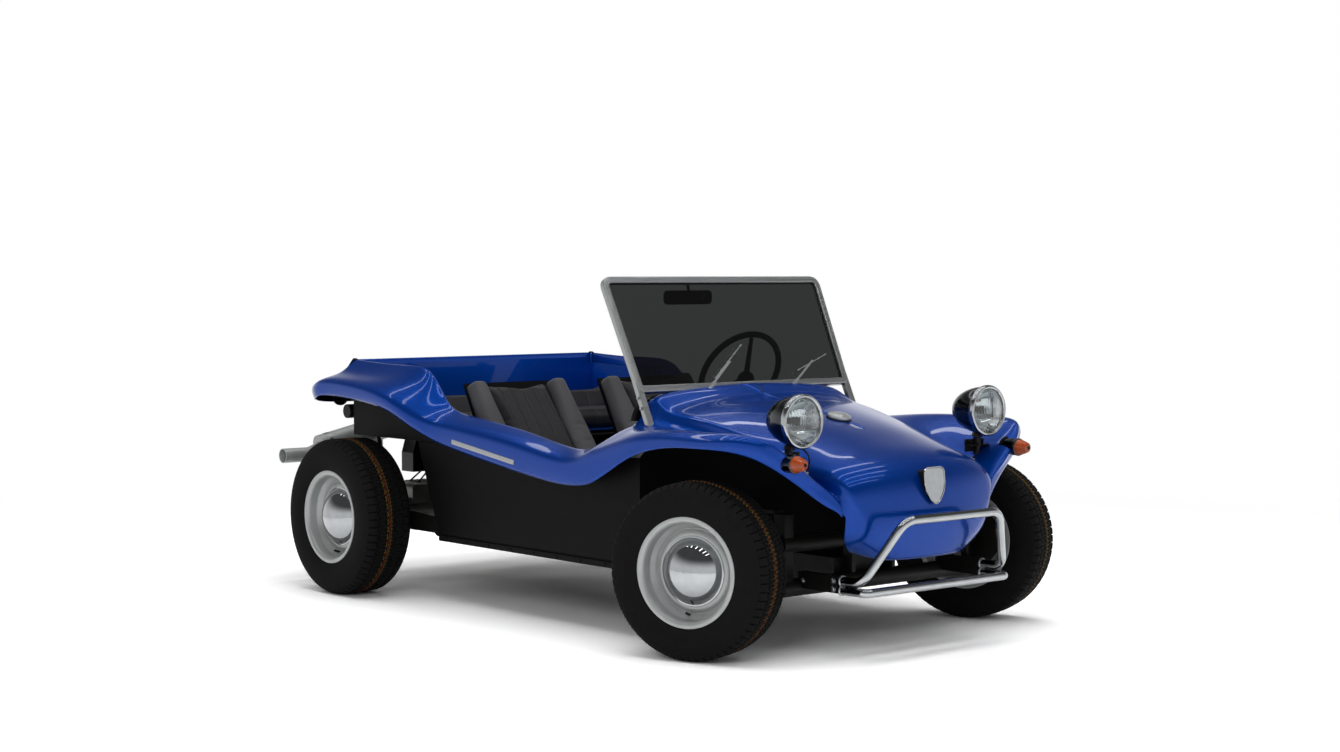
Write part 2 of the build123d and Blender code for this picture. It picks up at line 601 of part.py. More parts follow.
def steering_column():
    """Steering box with its arm to the beam, and the column tube."""
    box = Pos(drop_x(), FRONT_AXLE_Y, box_low() + BOX_HEIGHT / 2) * Cylinder(BOX_RADIUS, BOX_HEIGHT)
    box += share_block(*BOX_ARM_SHARES, FRONT_TYRE_RADIUS)
    low = column_plane(0)
    made = box + low * Cylinder(
        COLUMN_RADIUS, column_length() * COLUMN_END_SHARE, align=STANDING
    )
    made -= column_plane(COLUMN_END_SHARE) * Cylinder(SHAFT_RADIUS + RUNNING_GAP, 2 * CUT_OVERRUN)
    shaft = DROP_SHAFT_RADIUS + RUNNING_GAP
    made -= Pos(drop_x(), FRONT_AXLE_Y, box_low()) * Cylinder(shaft, BOX_HEIGHT + 2 * RUNNING_GAP)
    beam_z = FRONT_TYRE_RADIUS + BEAM_HALF_SPACING
    clamp = BEAM_TUBE_RADIUS + SEAT_GAP
    made -= rod((0, beam_y(), beam_z), (BEAM_HALF_LENGTH, beam_y(), beam_z), clamp)
    return made


def steering_wheel():
    """Ring, hub, three spokes and the shaft that turns in the column."""
    centre = column_plane(1)
    hub = Pos(0, 0, -WHEEL_DISH) * Cylinder(WHEEL_HUB_RADIUS, WHEEL_HUB_WIDTH)
    made = hub
    for turn in SPOKE_TURNS:
        out = Vector(cos(radians(turn)), sin(radians(turn)), 0)
        across = Vector(0, 0, 1).cross(out)
        made += bar((0, 0, -WHEEL_DISH), tuple(out * RING_RADIUS), across, SPOKE_WIDTH, SPOKE_GAUGE)
    made += Torus(RING_RADIUS, RING_SECTION_RADIUS)
    reach = column_length() * (1 - COLUMN_END_SHARE) + CUT_OVERRUN - RUNNING_GAP
    made += rod((0, 0, -WHEEL_DISH), (0, 0, -reach), SHAFT_RADIUS)
    return centre * made


# Wheels and tyres
def tyre(radius, width):
    """Hollow tyre about X, its outer wall's bead at the lip."""
    bead = BEAD_RADIUS + SEAT_GAP
    side = RIM_GAUGE + SEAT_GAP
    low, high = [LIP_RADIUS + s * (radius - LIP_RADIUS) for s in BULGE_SHARES]
    rim_width = width - 2 * TYRE_BULGE
    half = rim_width / 2
    outer = [
        (half - side, bead), (half - side, LIP_RADIUS), (half + TYRE_BULGE, low), (half + TYRE_BULGE, high),
        (half + TYRE_BULGE - TREAD_INSET, radius - TREAD_DROP), (half - TREAD_INSET - TREAD_DROP, radius),
    ]
    tread = radius - TYRE_WALL
    inner = [
        (half - side - TYRE_WALL, bead), (half - side - TYRE_WALL, LIP_RADIUS),
        (half + TYRE_BULGE - TYRE_WALL, low), (half + TYRE_BULGE - TYRE_WALL, high),
        (half - TREAD_INSET - TREAD_DROP, tread),
    ]
    outline = outer + [(-x, r) for x, r in reversed(outer)] + [(-x, r) for x, r in inner]
    return Pos(-half, 0, 0) * turned(outline + inner[::-1])


def rim(width):
    """Rim, disc, hub face and brake drum about X, the outer lip's face at zero."""
    w, g = width - 2 * TYRE_BULGE, RIM_GAUGE
    slope = BEAD_WIDTH + WELL_SLOPE
    barrel = [
        (0, LIP_RADIUS), (-g, LIP_RADIUS), (-g, BEAD_RADIUS), (-BEAD_WIDTH, BEAD_RADIUS),
        (-slope, WELL_RADIUS), (slope - w, WELL_RADIUS), (BEAD_WIDTH - w, BEAD_RADIUS), (g - w, BEAD_RADIUS),
        (g - w, LIP_RADIUS), (-w, LIP_RADIUS), (-w, BEAD_RADIUS - g), (BEAD_WIDTH - w, BEAD_RADIUS - g),
        (slope - w, WELL_RADIUS - g), (-slope, WELL_RADIUS - g), (-BEAD_WIDTH, BEAD_RADIUS - g),
        (0, BEAD_RADIUS - g),
    ]
    ring, face = -CAP_RING_DEPTH, -CAP_RING_DEPTH - DISC_DROP
    outer = HUB_CAP_RADIUS + CAP_RING_WIDTH
    disc = [
        (face, WELL_RADIUS - g / 2), (ring, outer), (ring, HUB_CAP_RADIUS - CAP_RING_WIDTH),
        (face, HUB_FACE_RADIUS), (face, HUB_BORE), (face - g, HUB_BORE), (face - g, HUB_FACE_RADIUS + g),
        (ring - g, HUB_CAP_RADIUS - CAP_RING_WIDTH), (ring - g, outer), (face - g, WELL_RADIUS - g / 2),
    ]
    drum = [(face - g, HUB_BORE), (face - g, DRUM_RADIUS - g)]
    drum += [(face - g - WELL_SLOPE, DRUM_RADIUS), (face - g - DRUM_WIDTH, DRUM_RADIUS)]
    drum += [(face - g - DRUM_WIDTH, HUB_BORE)]
    return turned(barrel) + turned(disc) + turned(drum)


def hub_cap():
    """Thin domed cap about X that seats on the wheel disc's ring."""
    base = SEAT_GAP - CAP_RING_DEPTH
    arcs = []
    for inset in (0, HUB_CAP_GAUGE):
        r, h = HUB_CAP_RADIUS - inset, HUB_CAP_HEIGHT - inset
        sphere = (r**2 + h**2) / (2 * h)
        half = asin(r / sphere) / 2
        middle = (base + h - sphere + sphere * cos(half), sphere * sin(half))
        arcs.append(ThreePointArc((base, r), middle, (base + h, 0)))
    ends = [Line(arcs[0] @ 1, arcs[1] @ 1), Line(arcs[1] @ 0, arcs[0] @ 0)]
    return revolve(make_face([arcs[0], ends[0], arcs[1], ends[1]]), Axis.X)


WHEELS = {
    "fr": (-1, FRONT_TYRE_RADIUS, FRONT_TYRE_WIDTH),
    "fl": (1, FRONT_TYRE_RADIUS, FRONT_TYRE_WIDTH),
    "rr": (-1, REAR_TYRE_RADIUS, REAR_TYRE_WIDTH),
    "rl": (1, REAR_TYRE_RADIUS, REAR_TYRE_WIDTH),
}


def wheel_place(key):
    """Where the outer lip's centre of a wheel stands."""
    side, radius, _ = WHEELS[key]
    turn = Rot(0, 0, HALF_TURN) if side < 0 else Rot(0, 0, 0)
    if key[0] == "f":
        return steered(side) * Pos(side * KINGPIN_INSET, 0, 0) * turn
    return Pos(side * REAR_LIP_X, REAR_AXLE_Y, radius) * turn


# Rear suspension and drive
HOUSING_RADIUS = 42.0
# Heights here and on the engine are shares of the rear tyre's radius
HOUSING_SHARE = (0.8034, 0.9385)
HOUSING_HALF_SHARE = 0.7696
HORN_SHARES = ((0.1571, 0.8071, 0.8479), (0.2068, 0.9793, 1.0291))
SPRING_PLATE_SHARES = (
    (0.7874, 0.8479), (0.7874, 1.0421), (0.9793, 1.1165), (1.0138, 1.1165), (1.0138, 0.8738),
    (0.9793, 0.8479),
)
SPRING_PLATE_GAUGE = 10.0
GEARBOX_SHARES = ((-0.1309, 0.8366, 0.6861), (0.1309, 1.0039, 1.3107))
GEARBOX_ROUND = 42.0
GEARBOX_NOSE_RADIUS = 70.0
GEARBOX_NOSE_LENGTH = 24.0
AXLE_TUBE_RADIUS = 27.0
HUB_CARRIER_RADIUS = 46.0
BELL_RADIUS = 165.0
BELL_SHARES = (1.0039, 1.0433)
ENGINE_MID_SHARE = 1.1165


def housing_place():
    along, z = HOUSING_SHARE
    return place((0, along, z), REAR_TYRE_RADIUS)


def rear_torsion_housing():
    """Cross tube behind the floorpan, the spring plates and the two horns to the gearbox."""
    _, y, z = housing_place()
    x = HOUSING_HALF_SHARE * BODY_HALF_WIDTH
    made = rod((-x, y, z), (x, y, z), HOUSING_RADIUS)
    horn = share_block(*HORN_SHARES, REAR_TYRE_RADIUS)
    plate = side_plate(SPRING_PLATE_SHARES, x, SPRING_PLATE_GAUGE, REAR_TYRE_RADIUS)
    axle = (REAR_AXLE_Y, REAR_TYRE_RADIUS)
    plate -= rod((0, *axle), (x + CUT_OVERRUN, *axle), AXLE_TUBE_RADIUS + SEAT_GAP)
    return made + pair(horn) + pair(plate)


def transaxle():
    """Gearbox, bell housing and the swinging axle tubes out to the rear hubs."""
    low, high = [place(p, REAR_TYRE_RADIUS) for p in GEARBOX_SHARES]
    x = HORN_SHARES[0][0] * BODY_HALF_WIDTH - SEAT_GAP
    z = ENGINE_MID_SHARE * REAR_TYRE_RADIUS
    bell = [place((0, along, 0))[1] for along in BELL_SHARES]
    made = block((-x, low[1], low[2]), (x, high[1], high[2]))
    made = fillet(made.edges().filter_by(Axis.Y), GEARBOX_ROUND)
    made += rod((0, bell[0], z), (0, bell[1], z), BELL_RADIUS)
    made += rod((0, low[1] - GEARBOX_NOSE_LENGTH, z), (0, high[1], z), GEARBOX_NOSE_RADIUS)
    axle = (REAR_AXLE_Y, REAR_TYRE_RADIUS)
    face = REAR_LIP_X - CAP_RING_DEPTH - DISC_DROP
    drum = face - RIM_GAUGE - DRUM_WIDTH - RUNNING_GAP
    plate_x = HOUSING_HALF_SHARE * BODY_HALF_WIDTH + SPRING_PLATE_GAUGE + SEAT_GAP
    made += rod((-drum, *axle), (drum, *axle), AXLE_TUBE_RADIUS)
    made += rod((RUNNING_GAP - face, *axle), (face - RUNNING_GAP, *axle), SPINDLE_RADIUS)
    for side in (-1, 1):
        made += rod((side * plate_x, *axle), (side * drum, *axle), HUB_CARRIER_RADIUS)
    return made


# Engine
CASE_SHARES = ((-0.144, 1.0435, 0.6634), (0.144, 1.1811, 1.3916))
CASE_ROUND = 34.0
BARREL_RADIUS = 40.0
FIN_RADIUS = 56.0
FIN_GAUGE = 4.0
FIN_COUNT = 9
BARREL_END_SHARE = 0.373
BARREL_ALONG_SHARES = (1.0802, 1.1442)
ROCKER_SHARES = ((0.3665, 1.0507, 0.9061), (0.4869, 1.1737, 1.288))
ROCKER_COVER_SHARES = ((0.445, 1.0581, 0.8479), (0.5131, 1.1663, 1.1165))
ROCKER_ROUND = 14.0
PULLEY_RADIUS = 82.0
PULLEY_WIDTH = 24.0


def engine():
    """Crankcase, four finned barrels, both heads, rocker covers and the crank pulley."""
    case = share_block(*CASE_SHARES, REAR_TYRE_RADIUS)
    made = fillet(case.edges().filter_by(Axis.Y), CASE_ROUND)
    z = ENGINE_MID_SHARE * REAR_TYRE_RADIUS
    start, end = CASE_SHARES[1][0] * BODY_HALF_WIDTH, BARREL_END_SHARE * BODY_HALF_WIDTH
    pitch = (end - start) / (FIN_COUNT + 1)
    for along in BARREL_ALONG_SHARES:
        y = place((0, along, 0))[1]
        made += rod((-end, y, z), (end, y, z), BARREL_RADIUS)
        for k in range(FIN_COUNT):
            x = start + (k + 1) * pitch
            for side in (-1, 1):
                made += rod((side * x, y, z), (side * (x + FIN_GAUGE), y, z), FIN_RADIUS)
    for shares in (ROCKER_SHARES, ROCKER_COVER_SHARES):
        piece = share_block(*shares, REAR_TYRE_RADIUS)
        made += pair(fillet(piece.edges().filter_by(Axis.Y), ROCKER_ROUND))
    back = place(CASE_SHARES[1])[1]
    made += rod((0, back, z), (0, back + PULLEY_WIDTH, z), PULLEY_RADIUS)
    return made


SHROUD_SHARES = ((0.3796, 0.4783), (0.3796, 0.5652), (0.3076, 0.7609), (0.1702, 0.837), (0.0, 0.8565))
SHROUD_ALONG_SHARES = (1.1083, 1.1506)
FAN_RADIUS = 118.0
FAN_Z_SHARE = 0.6957
GENERATOR_RADIUS = 55.0
GENERATOR_LENGTH = 70.0
COOLER_PULLEY_RADIUS = 60.0
FAN_PLATE_GAUGE = 6.0
SHROUD_ROUND = 68.0
STAND_SHARES = ((-0.0393, 1.154), (0.0393, 1.1811))


def engine_cooling():
    """Fan shroud over the barrels, with the generator, its stand and its pulley behind."""
    y0, y1 = [place((0, along, 0))[1] for along in SHROUD_ALONG_SHARES]
    z = FAN_Z_SHARE * RIM_HEIGHT
    made = cross_plate(SHROUD_SHARES, SHROUD_ALONG_SHARES[0], y1 - y0)
    shoulders = SHROUD_SHARES[1][1] * RIM_HEIGHT
    upper = [e for e in made.edges().filter_by(Axis.Y) if e.center().Z > shoulders]
    made = fillet(upper, SHROUD_ROUND)
    made += rod((0, y1, z), (0, y1 + FAN_PLATE_GAUGE, z), FAN_RADIUS)
    made += rod((0, y1, z), (0, y1 + GENERATOR_LENGTH, z), GENERATOR_RADIUS)
    pulley = y1 + GENERATOR_LENGTH
    made += rod((0, pulley, z), (0, pulley + PULLEY_WIDTH, z), COOLER_PULLEY_RADIUS)
    foot = place(CASE_SHARES[1], REAR_TYRE_RADIUS)[2] + SEAT_GAP
    low, high = [place((*p, 0)) for p in STAND_SHARES]
    return made + block((*low[:2], foot), (*high[:2], z))


# Exhaust
SILENCER_RADIUS = 50.0
SILENCER_SHARES = ((-0.7723, 1.767), (-0.2487, 2.0485))
TAILPIPE_RADIUS = 30.0
TAILPIPE_WALL = 3.0
TAILPIPE_BORE_DEPTH = 96.0
TAILPIPE_SHARES = ((-0.733, 1.7767), (-0.8377, 1.6764), (-1.0052, 1.6764))
TAILPIPE_BEND = 60.0
LOG_RADIUS = 32.0
LOG_HALF_SHARE = 0.4581
PRIMARY_RADIUS = 20.0
PRIMARY_SHARES = ((0.4084, 1.0655, 0.9052), (0.4084, 1.0655, 0.7184), (0.4084, 1.2008, 0.7184))
REAR_PORT_SHARES = ((0.4084, 1.154, 0.9052), (0.4084, 1.154, 0.7184))
RISER_SHARES = ((-0.3927, 1.2008, 0.7184), (-0.3927, 1.2313, 0.9709), (-0.3927, 1.2313, 1.9417))


def silencer_y():
    return LENGTH / 2 - SILENCER_RADIUS


def exhaust():
    """Collector log, primaries, riser, sloping silencer and the side tail pipe."""
    y = silencer_y()
    low, high = [(x * BODY_HALF_WIDTH, y, z * REAR_TYRE_RADIUS) for x, z in SILENCER_SHARES]
    made = rod(low, high, SILENCER_RADIUS)
    pipe = [(x * BODY_HALF_WIDTH, y, z * REAR_TYRE_RADIUS) for x, z in TAILPIPE_SHARES]
    made += bent_tube(pipe, TAILPIPE_BEND, TAILPIPE_RADIUS)
    mouth = pipe[-1]
    made -= rod(mouth, (mouth[0] + TAILPIPE_BORE_DEPTH, *mouth[1:]), TAILPIPE_RADIUS - TAILPIPE_WALL)
    risers = [place(p, REAR_TYRE_RADIUS) for p in RISER_SHARES]
    _, log_y, log_z = risers[0]
    log_x = LOG_HALF_SHARE * BODY_HALF_WIDTH
    made += rod((-log_x, log_y, log_z), (log_x, log_y, log_z), LOG_RADIUS)
    primary = bent_tube([place(p, REAR_TYRE_RADIUS) for p in PRIMARY_SHARES], TAILPIPE_RADIUS, PRIMARY_RADIUS)
    primary += rod(*[place(p, REAR_TYRE_RADIUS) for p in REAR_PORT_SHARES], PRIMARY_RADIUS)
    made += pair(primary)
    riser = [risers[0]] + [(x, y, z) for x, _, z in risers[1:]]
    return made + bent_tube(riser, TAILPIPE_RADIUS, PRIMARY_RADIUS)


# Rear cross tube
CROSS_TUBE_RADIUS = 28.5
CROSS_TUBE_SHARES = ((-0.8377, 1.0881, 0.7739), (0.8377, 1.0881, 0.7739))
CROSS_FOOT_SHARES = ((0.5236, 0.75), (0.5759, 0.7978))


def rear_cross_tube():
    """Cross tube behind the load well with its feet on the well's back wall."""
    ends = [place(p) for p in CROSS_TUBE_SHARES]
    low, high = [(x * BODY_HALF_WIDTH, z * RIM_HEIGHT) for x, z in CROSS_FOOT_SHARES]
    wall = tail_face_y() - RUNNING_GAP + SEAT_GAP
    foot = block((low[0], wall, low[1]), (high[0], ends[0][1], high[1]))
    return rod(*ends, CROSS_TUBE_RADIUS) + pair(foot)


# Dashboard
DASH_GAUGE = 26.0


def dashboard():
    """Panel under the bonnet's rear edge, cut level below and clear of the column."""
    row = BONNET_SHARES[0]
    panel = extrude(Face(nose_fill(row)), amount=DASH_GAUGE, dir=(0, 1, 0))
    hole = column_plane(0) * Cylinder(COLUMN_RADIUS + RUNNING_GAP, 2 * column_length())
    return Pos(0, SEAT_GAP, 0) * panel - hole


# Windscreen
SCREEN_RAKE = 25.5
SCREEN_FOOT_SHARE = (0.248, 0.937)
SCREEN_TOP_SHARE = 1.3674
SCREEN_HALF_SHARES = (0.6832, 0.7068)  # at the foot and the top
SCREEN_BAR = 26.0
SCREEN_DEPTH = 24.0
SCREEN_CORNER = 46.0
SCREEN_LOW_CORNER = 30.0
GLASS_GAUGE = 6.0
LEG_SHARES = ((0.6767, 0.2536, 0.7739), (0.7134, 0.2613, 0.9565))


def screen_plane():
    """The windscreen's own plane: x to the left, y up the rake, z forward."""
    along, z = SCREEN_FOOT_SHARE
    rake = radians(SCREEN_RAKE)
    return Plane(origin=place((0, along, z)), x_dir=(1, 0, 0), z_dir=(0, -cos(rake), sin(rake)))


def screen_outline(inset):
    """The screen's rounded outline, moved inward by the inset."""
    height = (SCREEN_TOP_SHARE - SCREEN_FOOT_SHARE[1]) * RIM_HEIGHT / cos(radians(SCREEN_RAKE))
    low, high = [s * BODY_HALF_WIDTH - inset for s in SCREEN_HALF_SHARES]
    bottom = inset - SCREEN_BAR / 2
    corners = [(-low, bottom), (low, bottom), (high, height - inset), (-high, height - inset)]
    face = make_face(Polyline(*corners, close=True))
    upper = face.vertices().group_by(Axis.Y)[-1]
    face = fillet(upper, SCREEN_CORNER - inset)
    return fillet(face.vertices().group_by(Axis.Y)[0], max(SCREEN_LOW_CORNER - inset, RUNNING_GAP))


def windscreen_frame(shell):
    """Rounded frame round the glass, with a leg down each side, seated on the bonnet."""
    ring = screen_outline(0) - screen_outline(SCREEN_BAR)
    made = screen_plane() * Pos(0, 0, -SCREEN_DEPTH / 2) * extrude(ring, amount=SCREEN_DEPTH)
    leg = share_block(*LEG_SHARES)
    return max((made + leg + mirror(leg, Plane.YZ) - shell).solids(), key=lambda s: s.volume)


def windscreen_glass():
    pane = extrude(screen_outline(SCREEN_BAR + SEAT_GAP), amount=GLASS_GAUGE)
    return screen_plane() * Pos(0, 0, -GLASS_GAUGE / 2) * pane


MIRROR_SHARE = (-0.1571, 1.2859)
MIRROR_STANDOFF = 34.5  # behind the windscreen's mid plane
MIRROR_WIDTH = 230.0
MIRROR_HEIGHT = 52.0
MIRROR_DEPTH = 16.0
MIRROR_ROUND = 13.0
MIRROR_STEM_RADIUS = 6.0
MIRROR_STEM_RISE = 60.0


def mirror_inside(frame):
    """Rear-view mirror hung from the windscreen's top bar."""
    across, up = MIRROR_SHARE
    x, z = across * BODY_HALF_WIDTH, up * RIM_HEIGHT
    _, foot_y, foot_z = place((0, *SCREEN_FOOT_SHARE))
    y = foot_y + (z - foot_z) * tan(radians(SCREEN_RAKE)) + MIRROR_STANDOFF
    made = Pos(x, y, z) * Box(MIRROR_WIDTH, MIRROR_DEPTH, MIRROR_HEIGHT)
    made = fillet(made.edges().filter_by(Axis.Y), MIRROR_ROUND)
    made += rod((x, y, z), (x, y, z + MIRROR_STEM_RISE), MIRROR_STEM_RADIUS)
    return min((made - frame).solids(), key=lambda s: s.bounding_box().min.Z)


# Wipers
WIPER_SHARES = (
    ((-0.2683, 0.2421, 0.9239), (-0.0838, 0.2657, 1.025), (-0.199, 0.2559, 0.9641), (0.0144, 0.2781, 1.0859)),
    ((0.2683, 0.2421, 0.9196), (0.4634, 0.2648, 1.0163), (0.3547, 0.2584, 0.9826), (0.5602, 0.2682, 1.0391)),
)
WIPER_RADIUS = 4.0
WIPER_PIVOT_RADIUS = 12.0


def wipers(fill):
    """Both wipers: pivot on the bonnet, arm and blade just ahead of the glass."""
    ahead = screen_plane().z_dir * (SCREEN_DEPTH / 2 + 2 * WIPER_RADIUS)
    solids = []
    for shares in WIPER_SHARES:
        pivot, middle, low, high = [Vector(*place(s)) + ahead for s in shares]
        made = rod(pivot, middle, WIPER_RADIUS) + rod(low, high, WIPER_RADIUS)
        made += rod(pivot + ahead / 2, pivot - Vector(0, 0, CUT_OVERRUN), WIPER_PIVOT_RADIUS)
        solids.append(made - fill)
    return Compound([s for made in solids for s in made.solids()])


# Lamps
LAMP_SHARE = (0.5955, -0.1309, 0.8565)
LAMP_RADIUS = 86.0
LAMP_LENGTH = 152.0
LAMP_WALL = 4.0
LAMP_RIM_WIDTH = 14.0
LAMP_GLASS_GAUGE = 8.0
LAMP_POST_RADIUS = 15.0
LAMP_POST_SHARES = ((0.6099, -0.1009, 0.7989), (0.6152, -0.0984, 0.6087))
POD_SHARE = (0.7173, -0.1339, 0.7141)
POD_RADIUS = 30.0
POD_LENGTH = 60.0
AMBER_LENGTH = 42.0
AMBER_TIP_RADIUS = 15.0
TAIL_LAMP_SHARE = (0.733, 1.1467, 0.8283)
TAIL_LAMP_RADIUS = 32.0
TAIL_LAMP_REACH = 26.0


def lamp_place(side):
    x, y, z = place(LAMP_SHARE)
    return Plane(origin=(side * x, y, z), x_dir=(1, 0, 0), z_dir=(0, 1, 0))


def headlamp_shell(side):
    """Bullet shell about the lamp's axis, open at the front, on a post down to the wing."""
    shell = scale(Sphere(1), (LAMP_RADIUS, LAMP_RADIUS, LAMP_LENGTH))
    core = LAMP_RADIUS - LAMP_WALL
    shell -= scale(Sphere(1), (core, core, LAMP_LENGTH - LAMP_WALL))
    keep = Pos(0, 0, LAMP_LENGTH / 2) * Box(2 * LAMP_LENGTH, 2 * LAMP_LENGTH, LAMP_LENGTH)
    rim = Cylinder(LAMP_RADIUS, LAMP_RIM_WIDTH, align=STANDING) - Cylinder(core, 2 * LAMP_RIM_WIDTH)
    made = lamp_place(side) * ((shell & keep) + rim)
    top, foot = [place(p) for p in LAMP_POST_SHARES]
    if side < 0:
        top, foot = mirrored(top), mirrored(foot)
    return made, rod(top, foot, LAMP_POST_RADIUS)


def headlamp_lens(side):
    core = LAMP_RADIUS - LAMP_WALL - SEAT_GAP
    return lamp_place(side) * Cylinder(core, LAMP_GLASS_GAUGE, align=STANDING)


def lamps(make):
    """Both sides' copies of one lamp piece."""
    return Compound([solid for side in (-1, 1) for solid in make(side).solids()])


def headlamp_shells(wing):
    """Both lamp shells on their posts, the posts cut to stand on the wings."""
    solids = []
    for side in (-1, 1):
        shell, post = headlamp_shell(side)
        skin = wing if side > 0 else mirror(wing, Plane.YZ)
        stub = (post - skin).solids()
        top = max(stub, key=lambda s: s.bounding_box().max.Z)
        core = lamp_place(side) * Cylinder(LAMP_RADIUS - LAMP_WALL, LAMP_RADIUS, align=STANDING)
        solids.append(shell + (top - core))
    return Compound([s for made in solids for s in made.solids()])


def indicator_plane(side):
    x, y, z = place(POD_SHARE)
    return Plane(origin=(side * x, y, z), x_dir=(1, 0, 0), z_dir=(0, -1, 0))


def indicator_pod(side):
    """Short round pod on the front of a wing."""
    return indicator_plane(side) * Cylinder(POD_RADIUS, POD_LENGTH, align=STANDING)


def indicator_lens(side):
    """Blunt amber cone on the pod."""
    cone = Cone(POD_RADIUS - RUNNING_GAP, AMBER_TIP_RADIUS, AMBER_LENGTH, align=STANDING)
    return indicator_plane(side) * Pos(0, 0, POD_LENGTH + SEAT_GAP) * cone


def cut_to_skin(make, skin):
    """Both sides' copies of a piece, cut to seat on the body; the outer piece is kept."""
    kept = []
    for side in (-1, 1):
        body = skin if side > 0 else mirror(skin, Plane.YZ)
        kept.append(max((make(side) - body).solids(), key=lambda s: s.volume))
    return Compound(kept)


def tail_lamp(side):
    """Round lamp on the tail, facing back."""
    x, y, z = place(TAIL_LAMP_SHARE)
    length = CUT_OVERRUN + TAIL_LAMP_REACH
    plane = Plane(origin=(side * x, y, z), x_dir=(1, 0, 0), z_dir=(0, 1, 0))
    return plane * Cylinder(TAIL_LAMP_RADIUS, length, align=STANDING)


# Filler cap
CAP_SHARE = (0.0, 0.0133, 0.8152)
CAP_RADIUS = 42.0
CAP_HEIGHT = 36.0
CAP_ROUND = 6.0
CAP_LEAN = 14.0


def filler_cap(shell):
    """Round cap that stands on the bonnet, square to its slope."""
    made = Pos(*place(CAP_SHARE)) * Rot(CAP_LEAN, 0, 0) * Cylinder(CAP_RADIUS, CAP_HEIGHT, align=STANDING)
    made = fillet(made.edges().group_by(Axis.Z)[-1], CAP_ROUND)
    return max((made - shell).solids(), key=lambda s: s.bounding_box().max.Z)


# Front bumper
BUMPER_TUBE_RADIUS = 15.0
BUMPER_BEND = 46.0
HOOP_SHARES = ((0.4503, -0.165, 0.8851), (0.4503, -0.2126, 0.8851), (0.3024, -0.2534, 1.5777))
LOWER_BAR_SHARES = ((0.4503, -0.165, 0.7804), (0.4503, -0.2215, 0.7804))
LOWER_BAR_BEND = 24.0


def front_bumper():
    """Tubular hoop and lower bar, both ending on the brackets."""
    left = [place(p, FRONT_TYRE_RADIUS) for p in HOOP_SHARES]
    front_y = BUMPER_TUBE_RADIUS - LENGTH / 2
    left[2] = (left[2][0], front_y, left[2][2])
    hoop = bent_tube(left + [mirrored(p) for p in reversed(left)], BUMPER_BEND, BUMPER_TUBE_RADIUS)
    low = [place(p, FRONT_TYRE_RADIUS) for p in LOWER_BAR_SHARES]
    bar_path = low + [mirrored(p) for p in reversed(low)]
    return Compound([hoop, bent_tube(bar_path, LOWER_BAR_BEND, BUMPER_TUBE_RADIUS)])


# Seats
SEAT_BASE_SHARES = ((0.374, 0.2837), (0.6545, 0.2837), (0.6545, 0.3261), (0.5659, 0.3587), (0.374, 0.375))
CUSHION_SHARES = (
    (0.3445, 0.3753), (0.5709, 0.359), (0.5832, 0.4348), (0.5512, 0.4674), (0.374, 0.5022),
    (0.3445, 0.4783),
)
BACK_SHARES = (
    (0.5856, 0.375), (0.6161, 0.375), (0.749, 0.9152), (0.7234, 0.9261), (0.5522, 0.4696),
    (0.5846, 0.437),
)
SEAT_INNER_SHARE = 0.1309
SEAT_OUTER_SHARE = 0.733
BOLSTER_WIDTH = 74.0
BOLSTER_RISE = 26.0
PAD_CORNER = 20.0
PAD_EDGE = 14.0
BENCH_HALF_SHARE = 0.7068
BENCH_CUSHION_SHARES = ((0.8071, 0.6873), (0.9252, 0.6873), (0.9252, 0.7609), (0.8071, 0.7609))
BENCH_BACK_SHARES = ((0.9262, 0.6873), (0.9646, 0.6873), (0.9793, 0.8696), (0.9547, 0.8783), (0.9252, 0.75))


def pad(shares, x, width):
    """An upholstered pad outboard of x, its outline's corners and its side edges rounded."""
    outline = [(x, *place((0, along, z))[1:]) for along, z in shares]
    face = Face(Polyline(*outline, close=True).wire())
    made = extrude(fillet(face.vertices(), PAD_CORNER), amount=width, dir=(1, 0, 0))
    return fillet(made.edges().group_by(Axis.X)[0] + made.edges().group_by(Axis.X)[-1], PAD_EDGE)


def seat(side):
    """Bucket seat: plinth, cushion and leaned back with raised bolsters on both edges."""
    inner, outer = SEAT_INNER_SHARE * BODY_HALF_WIDTH, SEAT_OUTER_SHARE * BODY_HALF_WIDTH
    width = outer - inner
    made = side_plate(SEAT_BASE_SHARES, inner + BOLSTER_WIDTH / 2, width - BOLSTER_WIDTH)
    made += side_plate(CUSHION_SHARES, inner + PAD_CORNER, width - 2 * PAD_CORNER)
    made += side_plate(BACK_SHARES, inner + PAD_CORNER, width - 2 * PAD_CORNER)
    for x in (inner, outer - BOLSTER_WIDTH):
        for shares in (CUSHION_SHARES, BACK_SHARES):
            made += pad(shares, x, BOLSTER_WIDTH)
            made += Pos(0, -BOLSTER_RISE, BOLSTER_RISE) * pad(shares, x, BOLSTER_WIDTH)
    return made if side > 0 else mirror(made, Plane.YZ)


def rear_bench():
    """Small bench on the load floor."""
    x = BENCH_HALF_SHARE * BODY_HALF_WIDTH
    return pad(BENCH_CUSHION_SHARES, -x, 2 * x) + pad(BENCH_BACK_SHARES, -x, 2 * x)


# Driver's controls
PEDAL_SHARES = (0.2356, 0.3272, 0.4319)
PEDAL_FOOT_SHARE = (0.2559, 0.2829)
PEDAL_TOP_SHARE = (0.2313, 0.4348)
PEDAL_RADIUS = 8.0
PEDAL_PAD = (54.0, 12.0, 60.0)
LEVER_SHARES = ((0.0, 0.3937, 0.4329), (0.0, 0.4232, 0.6087), (0.0, 0.4429, 0.75))
LEVER_RADIUS = 7.0
LEVER_KNOB_RADIUS = 24.0
LEVER_BOOT_RADIUS = 40.0
LEVER_BOOT_HEIGHT = 34.0
BRAKE_SHARES = ((0.0, 0.5561, 0.4329), (0.0, 0.5561, 0.4674), (0.0, 0.4577, 0.5435))
BRAKE_RADIUS = 11.0


